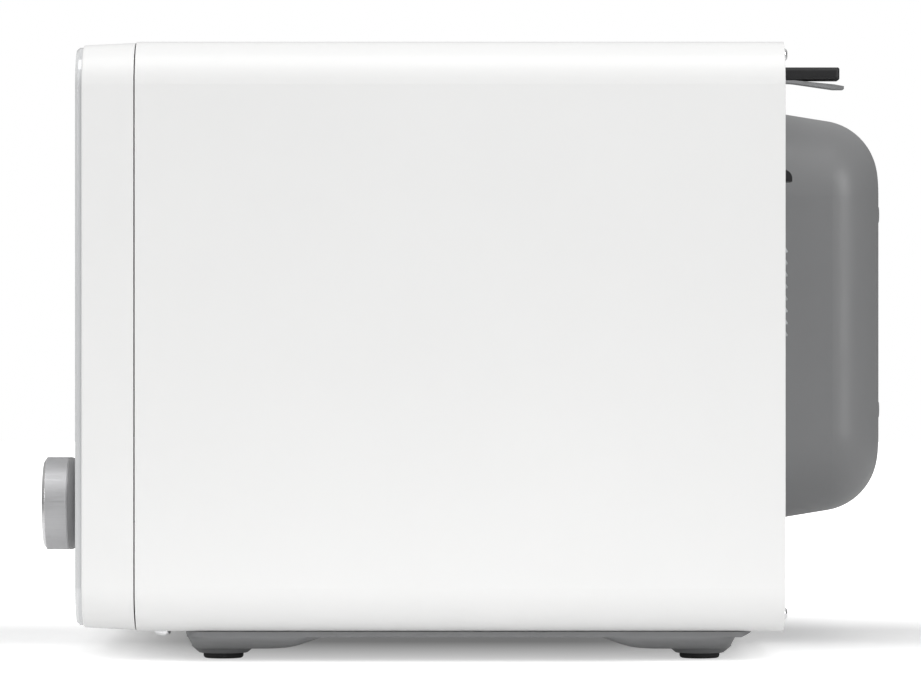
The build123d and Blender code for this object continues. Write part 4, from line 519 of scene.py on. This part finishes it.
def floor_material():
    """Pale sheet, painted brightest near the object with a glow standing in for bounce light; seen white with
    a painted soft shadow, and clear from below.
    """
    m = bpy.data.materials.new("floor_white")
    m.use_nodes = True
    t = m.node_tree
    t.nodes.clear()
    out = t.nodes.new("ShaderNodeOutputMaterial")
    place = t.nodes.new("ShaderNodeTexCoord")
    split = t.nodes.new("ShaderNodeSeparateXYZ")
    t.links.new(place.outputs["Object"], split.inputs[0])
    reach = t.nodes.new("ShaderNodeVectorMath")
    reach.operation = "LENGTH"
    t.links.new(place.outputs["Object"], reach.inputs[0])
    radius = reach.outputs["Value"]

    # Seen by other rays: painted light, the sheet paler and glowing near the object
    sheet = t.nodes.new("ShaderNodeBsdfDiffuse")
    sheet_near = 0.84
    sheet_far = 0.42
    t.links.new(remap(t, radius, sheet_near, sheet_far, 0.4, 0.9), sheet.inputs["Color"])
    bounce = add(t, "ShaderNodeEmission", Color=WHITE)
    bounce_near = 0.11
    t.links.new(remap(t, radius, bounce_near, 0.0, 0.25, 0.5), bounce.inputs["Strength"])

    # Seen by the camera: a painted soft shadow, the sheet darker and glowing less under the object
    seen = t.nodes.new("ShaderNodeBsdfDiffuse")
    wide = calc(t, "ABSOLUTE", split.outputs["X"])
    deep = calc(t, "ABSOLUTE", calc(t, "ADD", split.outputs["Y"], MIDDLE_Y))
    shadow = 0.45
    clear = 0.98
    dim_wide = remap(t, wide, shadow, clear, 0.22, 0.33)
    dim_deep = remap(t, deep, shadow, clear, 0.09, 0.17)
    t.links.new(calc(t, "MAXIMUM", dim_wide, dim_deep), seen.inputs["Color"])
    glow = add(t, "ShaderNodeEmission", Color=WHITE)
    glow_under = 0.16
    glow_beside = 0.6
    near = remap(t, wide, glow_under, glow_beside, 0.06, 0.24)
    far = remap(t, radius, 0.0, 1.0, 0.5, 1.5)
    t.links.new(calc(t, "MAXIMUM", near, far), glow.inputs["Strength"])

    ray = t.nodes.new("ShaderNodeLightPath")
    above = mixed(t, ray.outputs["Is Camera Ray"], added(t, sheet, bounce), added(t, seen, glow))
    side = t.nodes.new("ShaderNodeNewGeometry")
    clear_sheet = t.nodes.new("ShaderNodeBsdfTransparent")
    both = mixed(t, side.outputs["Backfacing"], above, clear_sheet)
    t.links.new(both.outputs[0], out.inputs[0])
    return m


bpy.ops.mesh.primitive_plane_add(size=FLOOR_SIZE, location=(0, 0, 0))
floor = bpy.context.object
floor.name = "floor"
floor.data.materials.append(floor_material())

world = bpy.data.worlds.new("studio")
bpy.context.scene.world = world
world.use_nodes = True
wt = world.node_tree
bg = wt.nodes["Background"]
SKY_STRENGTH = 0.8
bg.inputs["Strength"].default_value = SKY_STRENGTH
sky = wt.nodes.new("ShaderNodeTexCoord")
split = wt.nodes.new("ShaderNodeSeparateXYZ")
wt.links.new(sky.outputs["Generated"], split.inputs[0])

# Sky brightness from the horizon, 0.5, up to the zenith, 1.0
HORIZON = (0.5, 0.34)
ZENITH = (1.0, 0.8)
SKY_STOPS = ((0.62, 0.5), (0.85, 1.0))
ramp = wt.nodes.new("ShaderNodeValToRGB")
stops = ramp.color_ramp
for stop, (position, grey) in zip(list(stops.elements), (HORIZON, ZENITH)):
    stop.position = position
    stop.color = (grey, grey, grey, 1)
for position, grey in SKY_STOPS:
    stops.elements.new(position).color = (grey, grey, grey, 1)
half = wt.nodes.new("ShaderNodeMath")
half.operation = "MULTIPLY_ADD"
half.inputs[1].default_value = 0.5
half.inputs[2].default_value = 0.5
wt.links.new(split.outputs["Z"], half.inputs[0])
wt.links.new(half.outputs[0], ramp.inputs["Fac"])

# Darker towards the rear
REAR_SHADE = 0.6
behind = remap(wt, split.outputs["Y"], 1.0, REAR_SHADE, 0.1, 0.9)
shade = wt.nodes.new("ShaderNodeMix")
shade.data_type = "RGBA"
shade.blend_type = "MULTIPLY"
shade.inputs["Factor"].default_value = 1.0
wt.links.new(ramp.outputs["Color"], shade.inputs["A"])
wt.links.new(behind, shade.inputs["B"])
wt.links.new(shade.outputs["Result"], bg.inputs["Color"])
white = add(wt, "ShaderNodeBackground", Color=WHITE, Strength=1.0)
path = wt.nodes.new("ShaderNodeLightPath")
pick = mixed(wt, path.outputs["Is Camera Ray"], bg, white)
wt.links.new(pick.outputs[0], wt.nodes["World Output"].inputs[0])

# Camera, square to the side of the object
DIST = 2.6
SIDE_X = 0.2565
CAMERA_Y = -0.0060
CAMERA_Z = 0.1537
SENSOR = 36.0
SPAN = 921 * 0.00049
CLIP_END = 50
cam_data = bpy.data.cameras.new("camera")
cam_data.sensor_width = SENSOR
cam_data.lens = SENSOR * DIST / SPAN
cam_data.clip_end = CLIP_END
cam = bpy.data.objects.new("camera", cam_data)
bpy.context.scene.collection.objects.link(cam)
cam.location = (SIDE_X + DIST, CAMERA_Y, CAMERA_Z)
cam.rotation_euler = (math.radians(90), 0, math.radians(90))
bpy.context.scene.camera = cam

# Lamps: name, place, aim, size, power
LAMPS = (
    ("key", (1.35, -0.1, 2.8), (0.2, 0.0, 0.16), (3.0, 1.7), 25),
    ("front", (2.1, -2.3, 1.0), (0.1, 0.0, 0.15), (1.4, 1.4), 26),
    ("rear", (2.1, 2.3, 1.1), (0.1, 0.15, 0.15), (0.5, 2.0), 34),
)
for lamp in LAMPS:
    area(*lamp)
bpy.context.scene.view_settings.view_transform = "Standard"
